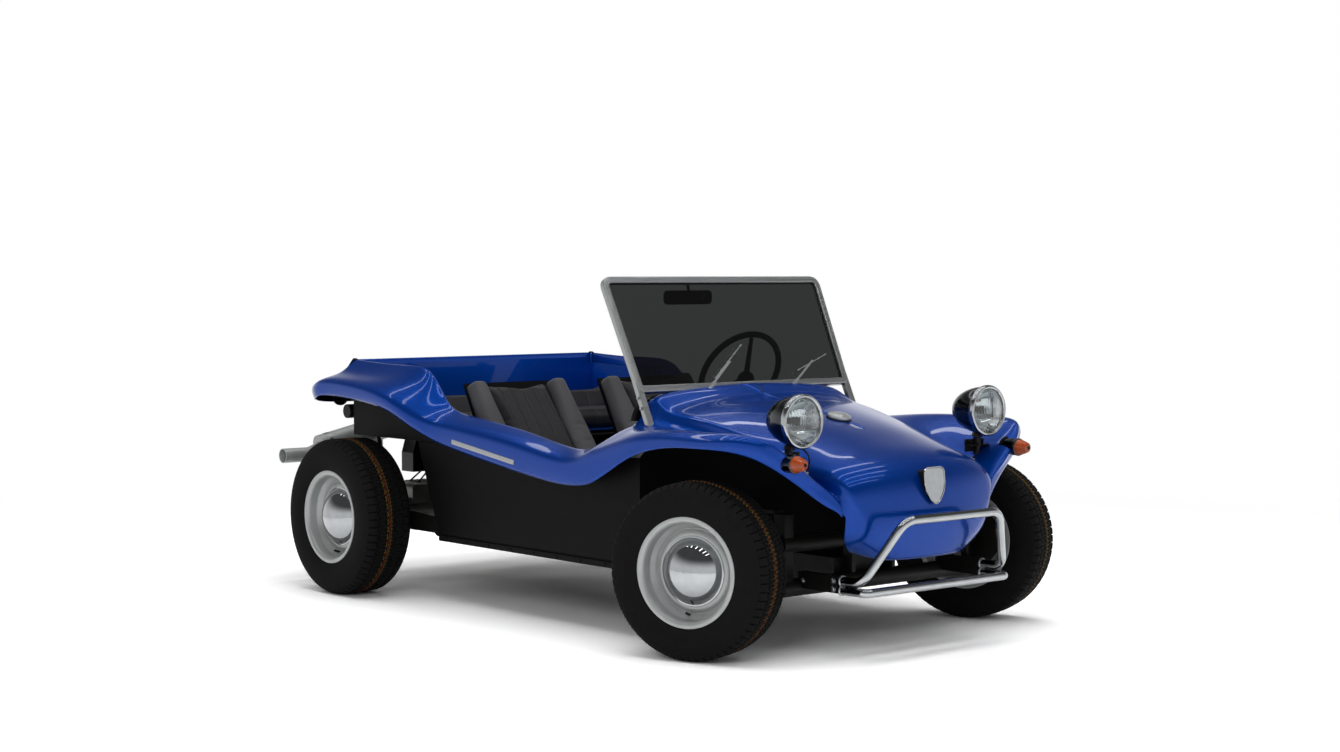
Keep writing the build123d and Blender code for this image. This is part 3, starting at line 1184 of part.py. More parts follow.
def driver_controls():
    """Three pedals on the floor, gear lever and handbrake on the tunnel."""
    solids = []
    for x_share in PEDAL_SHARES:
        foot = place((x_share, *PEDAL_FOOT_SHARE))
        top = place((x_share, *PEDAL_TOP_SHARE))
        upright = (top[0], foot[1], top[2])
        arm = rod(foot, upright, PEDAL_RADIUS) + rod(upright, top, PEDAL_RADIUS)
        solids.append(arm + Pos(*upright) * Box(*PEDAL_PAD))
    foot, knee, top = [place(p) for p in LEVER_SHARES]
    boot = Pos(*foot) * Cone(LEVER_BOOT_RADIUS, LEVER_RADIUS, LEVER_BOOT_HEIGHT, align=STANDING)
    start = (foot[0], foot[1], foot[2] + LEVER_BOOT_HEIGHT / 2)
    lever = rod(start, knee, LEVER_RADIUS) + rod(knee, top, LEVER_RADIUS)
    solids.append(boot + lever + Pos(*top) * Sphere(LEVER_KNOB_RADIUS))
    foot, knee, top = [place(p) for p in BRAKE_SHARES]
    solids.append(rod(foot, knee, BRAKE_RADIUS) + rod(knee, top, BRAKE_RADIUS))
    return Compound([s for made in solids for s in made.solids()])


# Shock absorbers
REAR_SHOCK_LOW_SHARE = (0.733, 1.001, 1.11)
REAR_SHOCK_HIGH_SHARE = (0.733, 1.0335)
SHOCK_LEAN_SHARE = 0.25  # rise of the leaning end's edge over its middle, of the rod's radius
SHOCK_BODY_SHARE = 0.55  # of the length, from the lower end


def shock(low, high):
    """Body and rod between two eyes."""
    a, b = Vector(*low), Vector(*high)
    middle = a + (b - a) * SHOCK_BODY_SHARE
    return rod(a, middle, SHOCK_RADIUS) + rod(middle, b, SHOCK_ROD_RADIUS)


def shock_absorbers():
    """Front pair under the towers and rear pair up to the load floor."""
    x, y = FRONT_SHOCK_SHARE[0] * BODY_HALF_WIDTH, from_axle(FRONT_SHOCK_SHARE[1] * WHEELBASE)
    top = TOWER_CAP_SHARES[0][2] * FRONT_TYRE_RADIUS - SEAT_GAP
    low = FRONT_TYRE_RADIUS - BEAM_HALF_SPACING
    front = shock((x, y, low), (x, y, top))
    x, y, floor = place((*REAR_SHOCK_HIGH_SHARE, WELL_FLOOR_SHARE))
    top = floor - SEAT_GAP - SHOCK_ROD_RADIUS * SHOCK_LEAN_SHARE
    rear = shock(place(REAR_SHOCK_LOW_SHARE, REAR_TYRE_RADIUS), (x, y, top))
    return Compound([front, mirror(front, Plane.YZ), rear, mirror(rear, Plane.YZ)])


def body():
    """The body mouldings and what seats on them."""
    fill = bonnet_fill()
    wing = max((side_moulding(WING_SHARES, WING_JOINS) - fill).solids(), key=lambda s: s.volume)
    made = {"body_bonnet": bonnet(), "body_tail": tail_moulding()}
    for name, left in (("wing", wing), ("rail", side_moulding(RAIL_SHARES, RAIL_JOINS))):
        made[f"body_{name}_left"] = left
        made[f"body_{name}_right"] = mirror(left, Plane.YZ)
    made["headlamp_shells"] = headlamp_shells(wing)
    made["headlamp_lenses"] = lamps(headlamp_lens)
    made["indicator_pods"] = cut_to_skin(indicator_pod, wing)
    made["indicator_lenses"] = lamps(indicator_lens)
    made["tail_lamps"] = cut_to_skin(tail_lamp, made["body_tail"])
    made["filler_cap"] = filler_cap(made["body_bonnet"])
    made["windscreen_frame"] = windscreen_frame(made["body_bonnet"])
    made["windscreen_glass"] = windscreen_glass()
    made["mirror"] = mirror_inside(made["windscreen_frame"])
    made["wipers"] = wipers(fill)
    return made


def cockpit():
    """What the occupants sit in and handle."""
    return {
        "tub": tub(),
        "load_well": load_well(),
        "dashboard": dashboard(),
        "seat_left": seat(1),
        "seat_right": seat(-1),
        "rear_bench": rear_bench(),
        "driver_controls": driver_controls(),
        "steering_wheel": steering_wheel(),
    }


def chassis():
    """Floorpan, suspension, steering, drive and bumper."""
    return {
        "floor_pan": floor_pan(),
        "sills": sills(),
        "front_beam": front_beam(),
        "trailing_arms": trailing_arms(),
        "shock_absorbers": shock_absorbers(),
        "knuckle_left": knuckle(1),
        "knuckle_right": knuckle(-1),
        "track_rod": track_rod(),
        "drop_arm": drop_arm(),
        "steering_column": steering_column(),
        "rear_torsion_housing": rear_torsion_housing(),
        "transaxle": transaxle(),
        "engine": engine(),
        "engine_cooling": engine_cooling(),
        "exhaust": exhaust(),
        "rear_cross_tube": rear_cross_tube(),
        "front_bumper": front_bumper(),
    }


def wheels():
    """Tyre, rim and hub cap at each corner."""
    made = {}
    for key, (_, radius, width) in WHEELS.items():
        spot = wheel_place(key)
        made[f"tyre_{key}"] = spot * tyre(radius, width)
        made[f"wheel_{key}"] = spot * rim(width)
        made[f"hub_cap_{key}"] = spot * hub_cap()
    return made


os.makedirs("parts", exist_ok=True)
for name, shape in {**body(), **cockpit(), **chassis(), **wheels()}.items():
    export_step(shape, f"parts/{name}.step")
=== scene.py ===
"""An open two-seat dune buggy in metallic blue glass fibre on a rear-engined floorpan.

Metres, +Z up, the front faces -Y and the driver's left side is +X. Places in the tables are in
millimetres: across from the centre plane, along behind the front axle, and up from the ground.
"""

import json
from math import cos, hypot, pi, radians, sin, tau

import bmesh
import bpy
import numpy as np
from mathutils import Matrix, Vector


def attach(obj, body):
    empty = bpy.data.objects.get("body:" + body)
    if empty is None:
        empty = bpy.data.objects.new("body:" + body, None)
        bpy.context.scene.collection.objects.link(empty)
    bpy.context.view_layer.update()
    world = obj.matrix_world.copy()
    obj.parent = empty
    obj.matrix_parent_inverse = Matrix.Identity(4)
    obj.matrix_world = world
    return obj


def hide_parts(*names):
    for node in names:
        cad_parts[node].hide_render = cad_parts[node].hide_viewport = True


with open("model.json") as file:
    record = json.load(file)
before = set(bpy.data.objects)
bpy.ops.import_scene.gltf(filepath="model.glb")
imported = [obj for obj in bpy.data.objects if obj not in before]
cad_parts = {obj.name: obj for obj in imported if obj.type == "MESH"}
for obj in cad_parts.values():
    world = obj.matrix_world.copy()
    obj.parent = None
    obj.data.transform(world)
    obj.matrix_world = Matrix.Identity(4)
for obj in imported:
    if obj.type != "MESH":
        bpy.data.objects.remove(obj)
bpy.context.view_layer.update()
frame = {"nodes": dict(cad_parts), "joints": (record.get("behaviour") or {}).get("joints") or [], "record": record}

MM = 0.001
JOINTS = {joint["name"]: joint for joint in frame["joints"]}
FRONT_AXLE_Y = JOINTS["knuckle_left_turn"]["pos_m"][1]
SHARP_ANGLE = radians(32)  # an edge that folds more than this stays crisp
scene = bpy.context.scene


def at(across, along, up):
    """A place in the frame from millimetres, with along measured behind the front axle."""
    return Vector((across * MM, FRONT_AXLE_Y + along * MM, up * MM))


# Camera and studio
CAMERA_PLACE = (-5.4416, -6.4307, 1.2732)
CAMERA_DOWN = 2.6815
CAMERA_YAW = -40.582
FOCAL_PIXELS = 2193.2
PHOTO_WIDTH = 1340
SENSOR_WIDTH = 36.0
WORLD_LEVEL = 0.34
CEILING_LEVEL = 0.10  # what gloss sees straight overhead, where the horizon is 1
CEILING_RISE = (0.10, 0.55)  # upward part of a direction over which the surround darkens
FLOOR_SIZE = 60.0
FLOOR_PAINT = (0.80, 1.30)  # for the light that it gives the car, and where it is seen
FLOOR_FADE = (2.6, 5.2)  # metres from the middle where the floor turns into the white surround


def make_camera():
    """The photograph's camera, from its fit to the wheelbase."""
    data = bpy.data.cameras.new("camera")
    data.lens = FOCAL_PIXELS / PHOTO_WIDTH * SENSOR_WIDTH
    data.sensor_width = SENSOR_WIDTH
    camera = bpy.data.objects.new("camera", data)
    camera.location = CAMERA_PLACE
    camera.rotation_euler = (radians(90 - CAMERA_DOWN), 0, radians(CAMERA_YAW))
    scene.collection.objects.link(camera)
    scene.camera = camera


def add(tree, kind, inputs=None, **settings):
    """One node with its settings, its inputs filled or linked."""
    node = tree.nodes.new(kind)
    for name, value in settings.items():
        setattr(node, name, value)
    for name, value in (inputs or {}).items():
        socket = node.inputs[name]
        if isinstance(value, bpy.types.NodeSocket):
            tree.links.new(value, socket)
        else:
            socket.default_value = value
    return node


def linear(code, alpha=1.0):
    """Linear colour of an sRGB hex code such as 1c4fd8."""
    values = [int(code[i : i + 2], 16) / 255 for i in (0, 2, 4)]
    return [v / 12.92 if v <= 0.04045 else ((v + 0.055) / 1.055) ** 2.4 for v in values] + [alpha]


def seen_directly(tree):
    """One for rays that show the surround: from the camera, off gloss and through glass."""
    path = add(tree, "ShaderNodeLightPath")
    either = add(tree, "ShaderNodeMath", operation="MAXIMUM").inputs
    tree.links.new(path.outputs["Is Camera Ray"], either[0])
    tree.links.new(path.outputs["Is Glossy Ray"], either[1])
    both = add(tree, "ShaderNodeMath", operation="MAXIMUM")
    tree.links.new(either[0].node.outputs[0], both.inputs[0])
    tree.links.new(path.outputs["Is Transmission Ray"], both.inputs[1])
    return both.outputs[0]


def make_world():
    """Plain soft light all round, with a white surround."""
    world = bpy.data.worlds.new("studio")
    world.use_nodes = True
    tree = world.node_tree
    tree.nodes.clear()
    light = add(tree, "ShaderNodeBackground", {"Color": linear("ffffff"), "Strength": WORLD_LEVEL})
    place = add(tree, "ShaderNodeTexCoord")
    rise = add(tree, "ShaderNodeSeparateXYZ", {0: place.outputs["Generated"]})
    low, high = CEILING_RISE
    sky = {"Value": rise.outputs["Z"], "From Min": low, "From Max": high, "To Min": 1.0, "To Max": CEILING_LEVEL}
    dimmed = add(tree, "ShaderNodeMapRange", sky, interpolation_type="SMOOTHSTEP")
    path = add(tree, "ShaderNodeLightPath")
    level = add(tree, "ShaderNodeMath", {0: dimmed.outputs[0], 1: path.outputs["Is Camera Ray"]}, operation="MAXIMUM")
    white = add(tree, "ShaderNodeBackground", {"Color": linear("ffffff"), "Strength": level.outputs[0]})
    mix = add(tree, "ShaderNodeMixShader", {"Fac": seen_directly(tree)})
    tree.links.new(light.outputs[0], mix.inputs[1])
    tree.links.new(white.outputs[0], mix.inputs[2])
    out = add(tree, "ShaderNodeOutputWorld")
    tree.links.new(mix.outputs[0], out.inputs["Surface"])
    scene.world = world


def make_floor():
    """A plain pale floor that fades into the white surround and keeps the shadow."""
    mesh = bpy.data.meshes.new("floor")
    half = FLOOR_SIZE / 2
    mesh.from_pydata([(-half, -half, 0), (half, -half, 0), (half, half, 0), (-half, half, 0)], [], [(0, 1, 2, 3)])
    floor = bpy.data.objects.new("floor", mesh)
    scene.collection.objects.link(floor)
    material = bpy.data.materials.new("painted_studio_floor")
    material.use_nodes = True
    tree = material.node_tree
    tree.nodes.clear()
    seen = seen_directly(tree)
    tint = add(tree, "ShaderNodeMix", data_type="FLOAT")
    tree.links.new(seen, tint.inputs[0])
    tint.inputs[2].default_value, tint.inputs[3].default_value = FLOOR_PAINT
    paint = add(tree, "ShaderNodeBsdfDiffuse", {"Color": tint.outputs[0]})
    glow = add(tree, "ShaderNodeEmission", {"Color": linear("ffffff"), "Strength": 1.0})
    place = add(tree, "ShaderNodeTexCoord")
    reach = add(tree, "ShaderNodeVectorMath", {0: place.outputs["Object"]}, operation="LENGTH")
    fade = add(tree, "ShaderNodeMapRange",
        {"Value": reach.outputs["Value"], "From Min": FLOOR_FADE[0], "From Max": FLOOR_FADE[1]},
        interpolation_type="SMOOTHSTEP")
    mix = add(tree, "ShaderNodeMixShader", {"Fac": fade.outputs[0]})
    tree.links.new(paint.outputs[0], mix.inputs[1])
    tree.links.new(glow.outputs[0], mix.inputs[2])
    out = add(tree, "ShaderNodeOutputMaterial")
    tree.links.new(mix.outputs[0], out.inputs["Surface"])
    mesh.materials.append(material)


# Softboxes: place, aim, size across and along in metres, power in watts; gloss doesn't see them
SOFTBOXES = (
    ((0.0, -0.6, 4.6), (0, 0, 0.4), (5.0, 3.4), 95.0),
    ((-4.6, -3.4, 2.6), (0, -0.3, 0.5), (2.4, 1.6), 62.0),
    ((4.8, -2.2, 2.4), (0, -0.3, 0.5), (2.0, 1.4), 26.0),
    ((0.6, 5.0, 2.6), (0, 0.6, 0.6), (3.0, 1.2), 30.0),
)
STRIP_COUNT = 8
STRIP_PITCH = 1.05
STRIP_MIDDLE = -0.6
STRIP_SIZE = (5.6, 0.15)
STRIP_HEIGHT = 4.3
STRIP_POWER = 18.0


def make_light(name, place, aim, size, power, in_gloss):
    """One rectangular lamp aimed at a place."""
    data = bpy.data.lights.new(name, "AREA")
    data.shape = "RECTANGLE"
    data.size, data.size_y = size
    data.energy = power
    lamp = bpy.data.objects.new(name, data)
    lamp.location = place
    lamp.rotation_euler = (Vector(place) - Vector(aim)).to_track_quat("Z", "Y").to_euler()
    lamp.visible_glossy = lamp.visible_transmission = in_gloss
    scene.collection.objects.link(lamp)


def make_lights():
    """Soft boxes over and round the car, and rows of ceiling tubes across it that gloss picks up."""
    for i, (place, aim, size, power) in enumerate(SOFTBOXES):
        make_light(f"softbox_{i}", place, aim, size, power, False)
    for k in range(STRIP_COUNT):
        along = (k - (STRIP_COUNT - 1) / 2) * STRIP_PITCH + STRIP_MIDDLE
        make_light(f"strip_{k}", (0, along, STRIP_HEIGHT), (0, along, 0), STRIP_SIZE, STRIP_POWER, True)


# Materials
def new_material(name, **shader):
    """A principled material; returns it with its tree and shader node."""
    material = bpy.data.materials.new(name)
    material.use_nodes = True
    tree = material.node_tree
    tree.nodes.clear()
    node = add(tree, "ShaderNodeBsdfPrincipled")
    for key, value in shader.items():
        node.inputs[key.replace("_", " ").title().replace("Ior", "IOR").replace(" Of ", " of ")].default_value = value
    out = add(tree, "ShaderNodeOutputMaterial")
    tree.links.new(node.outputs[0], out.inputs["Surface"])
    return material, tree, node


def pattern(tree, size_mm, detail=2.0, kind="ShaderNodeTexNoise", stretch=(1, 1, 1), **settings):
    """A noise or cell texture whose grain is size_mm across, in the object's own space."""
    place = add(tree, "ShaderNodeTexCoord")
    scale = add(tree, "ShaderNodeMapping", {"Vector": place.outputs["Object"], "Scale": stretch})
    inputs = {"Vector": scale.outputs[0], "Scale": 1000.0 / size_mm}
    if kind == "ShaderNodeTexNoise":
        inputs["Detail"] = detail
    return add(tree, kind, inputs, **settings)


def varied(tree, texture, low, high, socket):
    """Links a socket to a texture spread over a range."""
    ranged = add(tree, "ShaderNodeMapRange", {"Value": texture, "To Min": low, "To Max": high})
    tree.links.new(ranged.outputs[0], socket)


def tinted(tree, texture, low_code, high_code, socket):
    """Links a colour socket to a texture between two hex colours."""
    mix = add(tree, "ShaderNodeMix", data_type="RGBA")
    tree.links.new(texture, mix.inputs[0])
    mix.inputs[6].default_value, mix.inputs[7].default_value = linear(low_code), linear(high_code)
    tree.links.new(mix.outputs[2], socket)
    return mix


def bumped(tree, shader, height, depth_mm, strength=0.5):
    """Feeds a height pattern to the shader's normal."""
    bump = add(tree, "ShaderNodeBump", {"Height": height, "Distance": depth_mm * MM, "Strength": strength})
    tree.links.new(bump.outputs[0], shader.inputs["Normal"])
    return bump


def finished(name, codes, size_mm, detail, rough=None, grain=None, stretch=(1, 1, 1), **shader):
    """A procedural finish. A noise tints the base colour between two codes and spreads the roughness
    over a range; grain is the bump's size in mm, detail, depth in mm and strength."""
    material, tree, node = new_material(name, **shader)
    cloud = pattern(tree, size_mm, detail, stretch=stretch)
    tinted(tree, cloud.outputs["Fac"], *codes, node.inputs["Base Color"])
    if rough:
        varied(tree, cloud.outputs["Fac"], *rough, node.inputs["Roughness"])
    if grain:
        size, grain_detail, depth, strength = grain
        relief = pattern(tree, size, grain_detail, stretch=stretch)
        bumped(tree, node, relief.outputs["Fac"], depth, strength)
    return material


def moulded_acrylic(name, dark, light):
    """Moulded acrylic lamp lens: translucent colour that glows where light passes."""
    return finished(
        name, (dark, light), 12.0, 2.0, roughness=0.12, ior=1.49, transmission_weight=0.35, subsurface_weight=0.2
    )


def marking_paint(name, code):
    """Thin stencilled marking paint on rubber: matt, worn into dashes by the mould grain."""
    return finished(name, ("241a17", code), 9.0, 4.0, roughness=0.8, specular_ior_level=0.1)


def leathercloth(name, dark, light):
    """Calendered leathercloth: soft sheen over a pressed hide grain."""
    material, tree, shader = new_material(name, roughness=0.52, specular_ior_level=0.22)
    cloud = pattern(tree, 120.0, 3.0)
    tinted(tree, cloud.outputs["Fac"], dark, light, shader.inputs["Base Color"])
    grain = pattern(tree, 2.4, kind="ShaderNodeTexVoronoi", feature="F1")
    bumped(tree, shader, grain.outputs["Distance"], 0.35, 0.5)
    return material


# Sprayed metallic blue under clear lacquer: fine bright flake, deep gloss, a trace of ripple
BLUE = finished(
    "metallic_blue_lacquer", ("002a78", "0244a4"), 1.6, 1.0, grain=(90.0, 1.0, 0.25, 0.35),
    metallic=0.55, roughness=0.26, specular_ior_level=0.05, coat_weight=0.5, coat_roughness=0.02, coat_ior=1.38,
)
# Moulded black gelcoat: satin, with faint orange peel and uneven sheen
BLACK_BODY = finished(
    "moulded_black_gelcoat", ("060607", "0d0d0e"), 160.0, 4.0, (0.34, 0.52), (3.0, 2.0, 0.2, 0.3),
    roughness=0.48, specular_ior_level=0.05,
)
# Brushed-on black chassis enamel: semi-gloss, thick, slightly dusty in the hollows
CHASSIS = finished(
    "brushed_chassis_enamel", ("060606", "11110f"), 60.0, 6.0, (0.35, 0.6), (2.5, 3.0, 0.3, 0.35),
    roughness=0.5, specular_ior_level=0.16,
)
# Polished chrome plate: near mirror, with the least haze from handling
CHROME = finished(
    "polished_chrome_plate", ("9a9d9f", "b3b6b8"), 40.0, 3.0, (0.03, 0.09), metallic=1.0, roughness=0.06
)
# Extruded aluminium, satin anodised: fine draw lines along the length
ALUMINIUM = finished(
    "satin_anodised_aluminium", ("8d8f90", "b2b4b4"), 1.2, 2.0, (0.30, 0.46), (1.2, 2.0, 0.15, 0.25),
    stretch=(1.0, 1.0, 0.05), metallic=1.0, roughness=0.38,
)
# Sand-cast aluminium alloy: dull, pitted, with oily darker patches
CAST = finished(
    "sand_cast_alloy", ("5b5a57", "8d8c88"), 45.0, 5.0, grain=(2.2, 3.0, 0.5, 0.5), metallic=0.85, roughness=0.55
)
# Stoved black enamel on pressed sheet: semi-gloss
FAN_BLACK = finished(
    "stoved_black_enamel", ("0b0b0c", "171718"), 80.0, 3.0, (0.24, 0.4), roughness=0.3, specular_ior_level=0.25
)
# Heat-proof grey paint on rolled steel: soft sheen, faintly mottled by heat
SILENCER = finished(
    "heatproof_grey_paint", ("8e9190", "b3b6b4"), 70.0, 4.0, grain=(1.8, 2.0, 0.1, 0.25), metallic=0.35,
    roughness=0.42
)
# Silver-grey stoved enamel on pressed steel: smooth, slightly metallic, soft gloss
WHEEL_GREY = finished(
    "stoved_silver_enamel", ("989b9b", "adb0af"), 50.0, 3.0, (0.30, 0.40),
    metallic=0.35, roughness=0.34, coat_weight=0.3, coat_roughness=0.15,
)
# Moulded black rubber: dull and charcoal on the tread, with fine mould grain
RUBBER = finished(
    "moulded_tyre_rubber", ("101011", "191919"), 30.0, 5.0, (0.62, 0.82), (1.5, 3.0, 0.2, 0.3),
    roughness=0.72, specular_ior_level=0.05,
)
STRIPE_RED = marking_paint("stencilled_red_marking", "8e3418")
STRIPE_YELLOW = marking_paint("stencilled_yellow_marking", "7d6a2c")
# Laminated windscreen glass with a near-black grey tint: painted shade that darkens everything seen through it, under
# sharp reflections
SCREEN_GLASS = finished(
    "laminated_glass_painted_dark_view", ("2e302f", "343635"), 600.0, 1.0,
    roughness=0.0, ior=1.5, specular_ior_level=0.2, transmission_weight=1.0,
)
# Pressed clear lamp glass: a faint cool tint
LAMP_GLASS = finished(
    "pressed_lamp_glass", ("e4eaec", "f2f6f7"), 200.0, 1.0, roughness=0.03, ior=1.5, transmission_weight=1.0
)
# Vapour-coated reflector: bright mirror
REFLECTOR = finished("vapour_coated_reflector", ("b9bcbd", "cfd2d3"), 20.0, 2.0, metallic=1.0, roughness=0.05)
# Turned and brushed aluminium: satin, with fine marks from the brushing
BRUSHED = finished(
    "brushed_spun_aluminium", ("9b9e9f", "c2c5c5"), 0.9, 2.0, (0.22, 0.38),
    stretch=(1.0, 0.12, 1.0), metallic=0.7, roughness=0.3,
)
# Black extruded rubber sealing strip: soft sheen, dusty along its grain
WELT = finished("extruded_rubber_seal", ("070707", "121212"), 18.0, 3.0, roughness=0.6, specular_ior_level=0.15)
# Black chrome plate on pressed steel: dark mirror with a little haze
DARK_CHROME = finished(
    "black_chrome_plate", ("35373a", "4b4e50"), 35.0, 3.0, (0.08, 0.18), metallic=1.0, roughness=0.12
)
AMBER = moulded_acrylic("moulded_amber_acrylic", "a8420f", "c4551a")
RED = moulded_acrylic("moulded_red_acrylic", "7d0806", "a01210")
TRIM_DARK = leathercloth("charcoal_leathercloth", "1c1c1e", "262629")
TRIM_GREY = leathercloth("grey_leathercloth", "3a3a3c", "47474a")
# Moulded black plastic: fine spark-eroded texture
PLASTIC = finished(
    "moulded_black_plastic", ("0d0d0e", "1b1b1c"), 30.0, 3.0, grain=(1.2, 2.0, 0.15, 0.35),
    roughness=0.4, specular_ior_level=0.2,
)
# Drawn stainless steel: satin, streaked along the drawing
STEEL = finished(
    "drawn_stainless_steel", ("8f9192", "b0b2b3"), 1.0, 2.0, stretch=(0.1, 1.0, 1.0), metallic=1.0, roughness=0.28
)

NODE_FINISH = {
    "blue_paint": BLUE,
    "black_body": BLACK_BODY,
    "chassis_black": CHASSIS,
    "engine_alloy": CAST,
    "cooling_black": FAN_BLACK,
    "exhaust_grey": SILENCER,
    "screen_alloy": ALUMINIUM,
    "screen_glass": SCREEN_GLASS,
    "mirror_black": PLASTIC,
    "chrome": CHROME,
    "lamp_glass": LAMP_GLASS,
    "amber_lens": AMBER,
    "red_lens": RED,
    "seat_trim": TRIM_DARK,
    "steering_black": PLASTIC,
    "wheel_paint": WHEEL_GREY,
    "tyre_rubber": RUBBER,
    "bright_steel": STEEL,
}
WELL_MIDDLE = 0.85  # metres along the car
WELL_OUTWARD = 0.05  # a face of the well that turns outward by more than this is its outside
WELL_UNDER = -0.5


def dress_nodes():
    """Every carried-over node gets the finish of its slot; the load well is bare black outside."""
    for part in frame["record"]["subparts"]:
        mesh = frame["nodes"][part["node"]].data
        mesh.materials.clear()
        mesh.materials.append(NODE_FINISH[part["material_slot"]])
    well = frame["nodes"]["load_well"].data
    well.materials.append(BLACK_BODY)
    for face in well.polygons:
        outward = face.normal.x * face.center.x + face.normal.y * (face.center.y - WELL_MIDDLE)
        face.material_index = int(outward > WELL_OUTWARD or face.normal.z < WELL_UNDER)


# Mesh helpers
def face_outward(mesh):
    """Turns every closed form's faces outward."""
    edit = bmesh.new()
    edit.from_mesh(mesh)
    bmesh.ops.recalc_face_normals(edit, faces=edit.faces)
    edit.to_mesh(mesh)
    edit.free()


def new_piece(name, vertices, faces, materials, body="chassis", slot=None, finish=None):
    """A mesh piece that rides on a body; finish gives each face's material index."""
    mesh = bpy.data.meshes.new(name)
    mesh.from_pydata([tuple(v) for v in vertices], [], faces)
    for material in materials if isinstance(materials, (list, tuple)) else [materials]:
        mesh.materials.append(material)
    if finish is not None:
        mesh.polygons.foreach_set("material_index", np.array(finish, dtype=np.int32))
    mesh.update()
    face_outward(mesh)
    mesh.shade_smooth()
    mesh.set_sharp_from_angle(angle=SHARP_ANGLE)
    made = bpy.data.objects.new(name, mesh)
    scene.collection.objects.link(made)
    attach(made, body)
    return made


def bake_modifiers(made):
    """Applies every modifier so that the piece's own mesh is final."""
    bpy.context.view_layer.update()
    evaluated = made.evaluated_get(bpy.context.evaluated_depsgraph_get())
    mesh = bpy.data.meshes.new_from_object(evaluated)
    made.modifiers.clear()
    old = made.data
    made.data = mesh
    bpy.data.meshes.remove(old)
    return made


def thicken(made, thickness, inner_material=None):
    """Gives a sheet its gauge on the inner side, with its own inner finish."""
    solid = made.modifiers.new("gauge", "SOLIDIFY")
    solid.thickness = thickness
    solid.offset = -1.0
    if inner_material is not None:
        made.data.materials.append(inner_material)
        solid.material_offset = len(made.data.materials) - 1
    return bake_modifiers(made)


def rounded(outline, radius, steps=4, closed=True):
    """The outline with each corner turned into a short arc; radius is one number or one a corner."""
    points = [Vector(p) for p in outline]
    made = []
    count = len(points)
    for i, corner in enumerate(points):
        if not closed and i in (0, count - 1):
            made.append(corner)
            continue
        before, after = points[i - 1], points[(i + 1) % count]
        a, b = before - corner, after - corner
        own = radius[i] if isinstance(radius, tuple) else radius
        reach = min(own, a.length * 0.45, b.length * 0.45)
        start, end = corner + a.normalized() * reach, corner + b.normalized() * reach
        for k in range(steps + 1):
            t = k / steps
            made.append(start * (1 - t) ** 2 + corner * 2 * t * (1 - t) + end * t**2)
    return made


def lathe(outline, segments, axis_place):
    """Vertices and faces turned about local X from (along, radius) pairs, set by a matrix."""
    vertices, faces = [], []
    count = len(outline)
    for k in range(segments):
        a = tau * k / segments
        for x, r in outline:
            vertices.append(axis_place @ Vector((x, r * cos(a), r * sin(a))))
    for k in range(segments):
        for i in range(count):
            j = (i + 1) % count
            n = (k + 1) % segments
            faces.append((k * count + i, k * count + j, n * count + j, n * count + i))
    return vertices, faces


def sweep(points, radius, bend=0.0, sides=16, steps=6, closed=False):
    """Vertices and faces of a round tube along points, its corners bent to a radius."""
    path = rounded(points, bend, steps, closed) if bend else [Vector(p) for p in points]
    vertices, faces = [], []
    count = len(path)
    up = None
    for i, p in enumerate(path):
        before = path[i - 1] if i or closed else p
        after = path[(i + 1) % count] if i < count - 1 or closed else p
        along = (after - before).normalized()
        if up is None:
            up = along.orthogonal().normalized()
        up = (up - along * up.dot(along)).normalized()
        across = along.cross(up)
        for k in range(sides):
            a = tau * k / sides
            vertices.append(p + up * (radius * cos(a)) + across * (radius * sin(a)))
    spans = count if closed else count - 1
    for i in range(spans):
        j = (i + 1) % count
        for k in range(sides):
            n = (k + 1) % sides
            faces.append((i * sides + k, i * sides + n, j * sides + n, j * sides + k))
    if not closed:
        faces.append(tuple(range(sides))[::-1])
        faces.append(tuple((count - 1) * sides + k for k in range(sides)))
    return vertices, faces


class Bundle:
    """Collects many small meshes into one piece."""

    def __init__(self):
        self.vertices, self.faces, self.finish = [], [], []

    def put(self, made, material=0):
        vertices, faces = made
        base = len(self.vertices)
        self.vertices += vertices
        self.faces += [tuple(base + i for i in face) for face in faces]
        self.finish += [material] * len(faces)

    def piece(self, name, materials, **more):
        return new_piece(name, self.vertices, self.faces, materials, finish=self.finish, **more)


def axis_frame(place, direction, up=(0, 0, 1)):
    """Matrix in millimetres whose own X runs along a direction and own Z leans towards up."""
    x = Vector(direction).normalized()
    y = Vector(up).cross(x).normalized()
    made = Matrix((x, y, x.cross(y))).transposed().to_4x4()
    made.translation = place
    return made @ Matrix.Scale(MM, 4)


CAR = axis_frame(at(0, 0, 0), (1, 0, 0))  # across, along and up in millimetres


def inset_outline(outline, inward):
    """A closed outline drawn counter-clockwise, moved inward."""
    made = []
    for i, p in enumerate(outline):
        a = (p - outline[i - 1]).normalized()
        b = (outline[(i + 1) % len(outline)] - p).normalized()
        n = Vector((-a.y - b.y, a.x + b.x))
        made.append(p + n * (2 * inward / max(n.length_squared, 0.5)))
    return made


def plate(outline, low, high, ease, place=CAR):
    """A flat piece between two depths along own X, its outline in own Y and Z, with eased edges."""
    points = [Vector(p) for p in outline]
    if sum(points[i - 1].x * p.y - p.x * points[i - 1].y for i, p in enumerate(points)) < 0:
        points.reverse()
    inner = inset_outline(points, ease)
    rings = ((low, inner), (low + ease, points), (high - ease, points), (high, inner))
    count = len(points)
    vertices = [place @ Vector((x, *p)) for x, ring in rings for p in ring]
    faces = [tuple(range(count))[::-1], tuple(3 * count + i for i in range(count))]
    for r in range(3):
        for i in range(count):
            j = (i + 1) % count
            faces.append((r * count + i, r * count + j, (r + 1) * count + j, (r + 1) * count + i))
    return vertices, faces


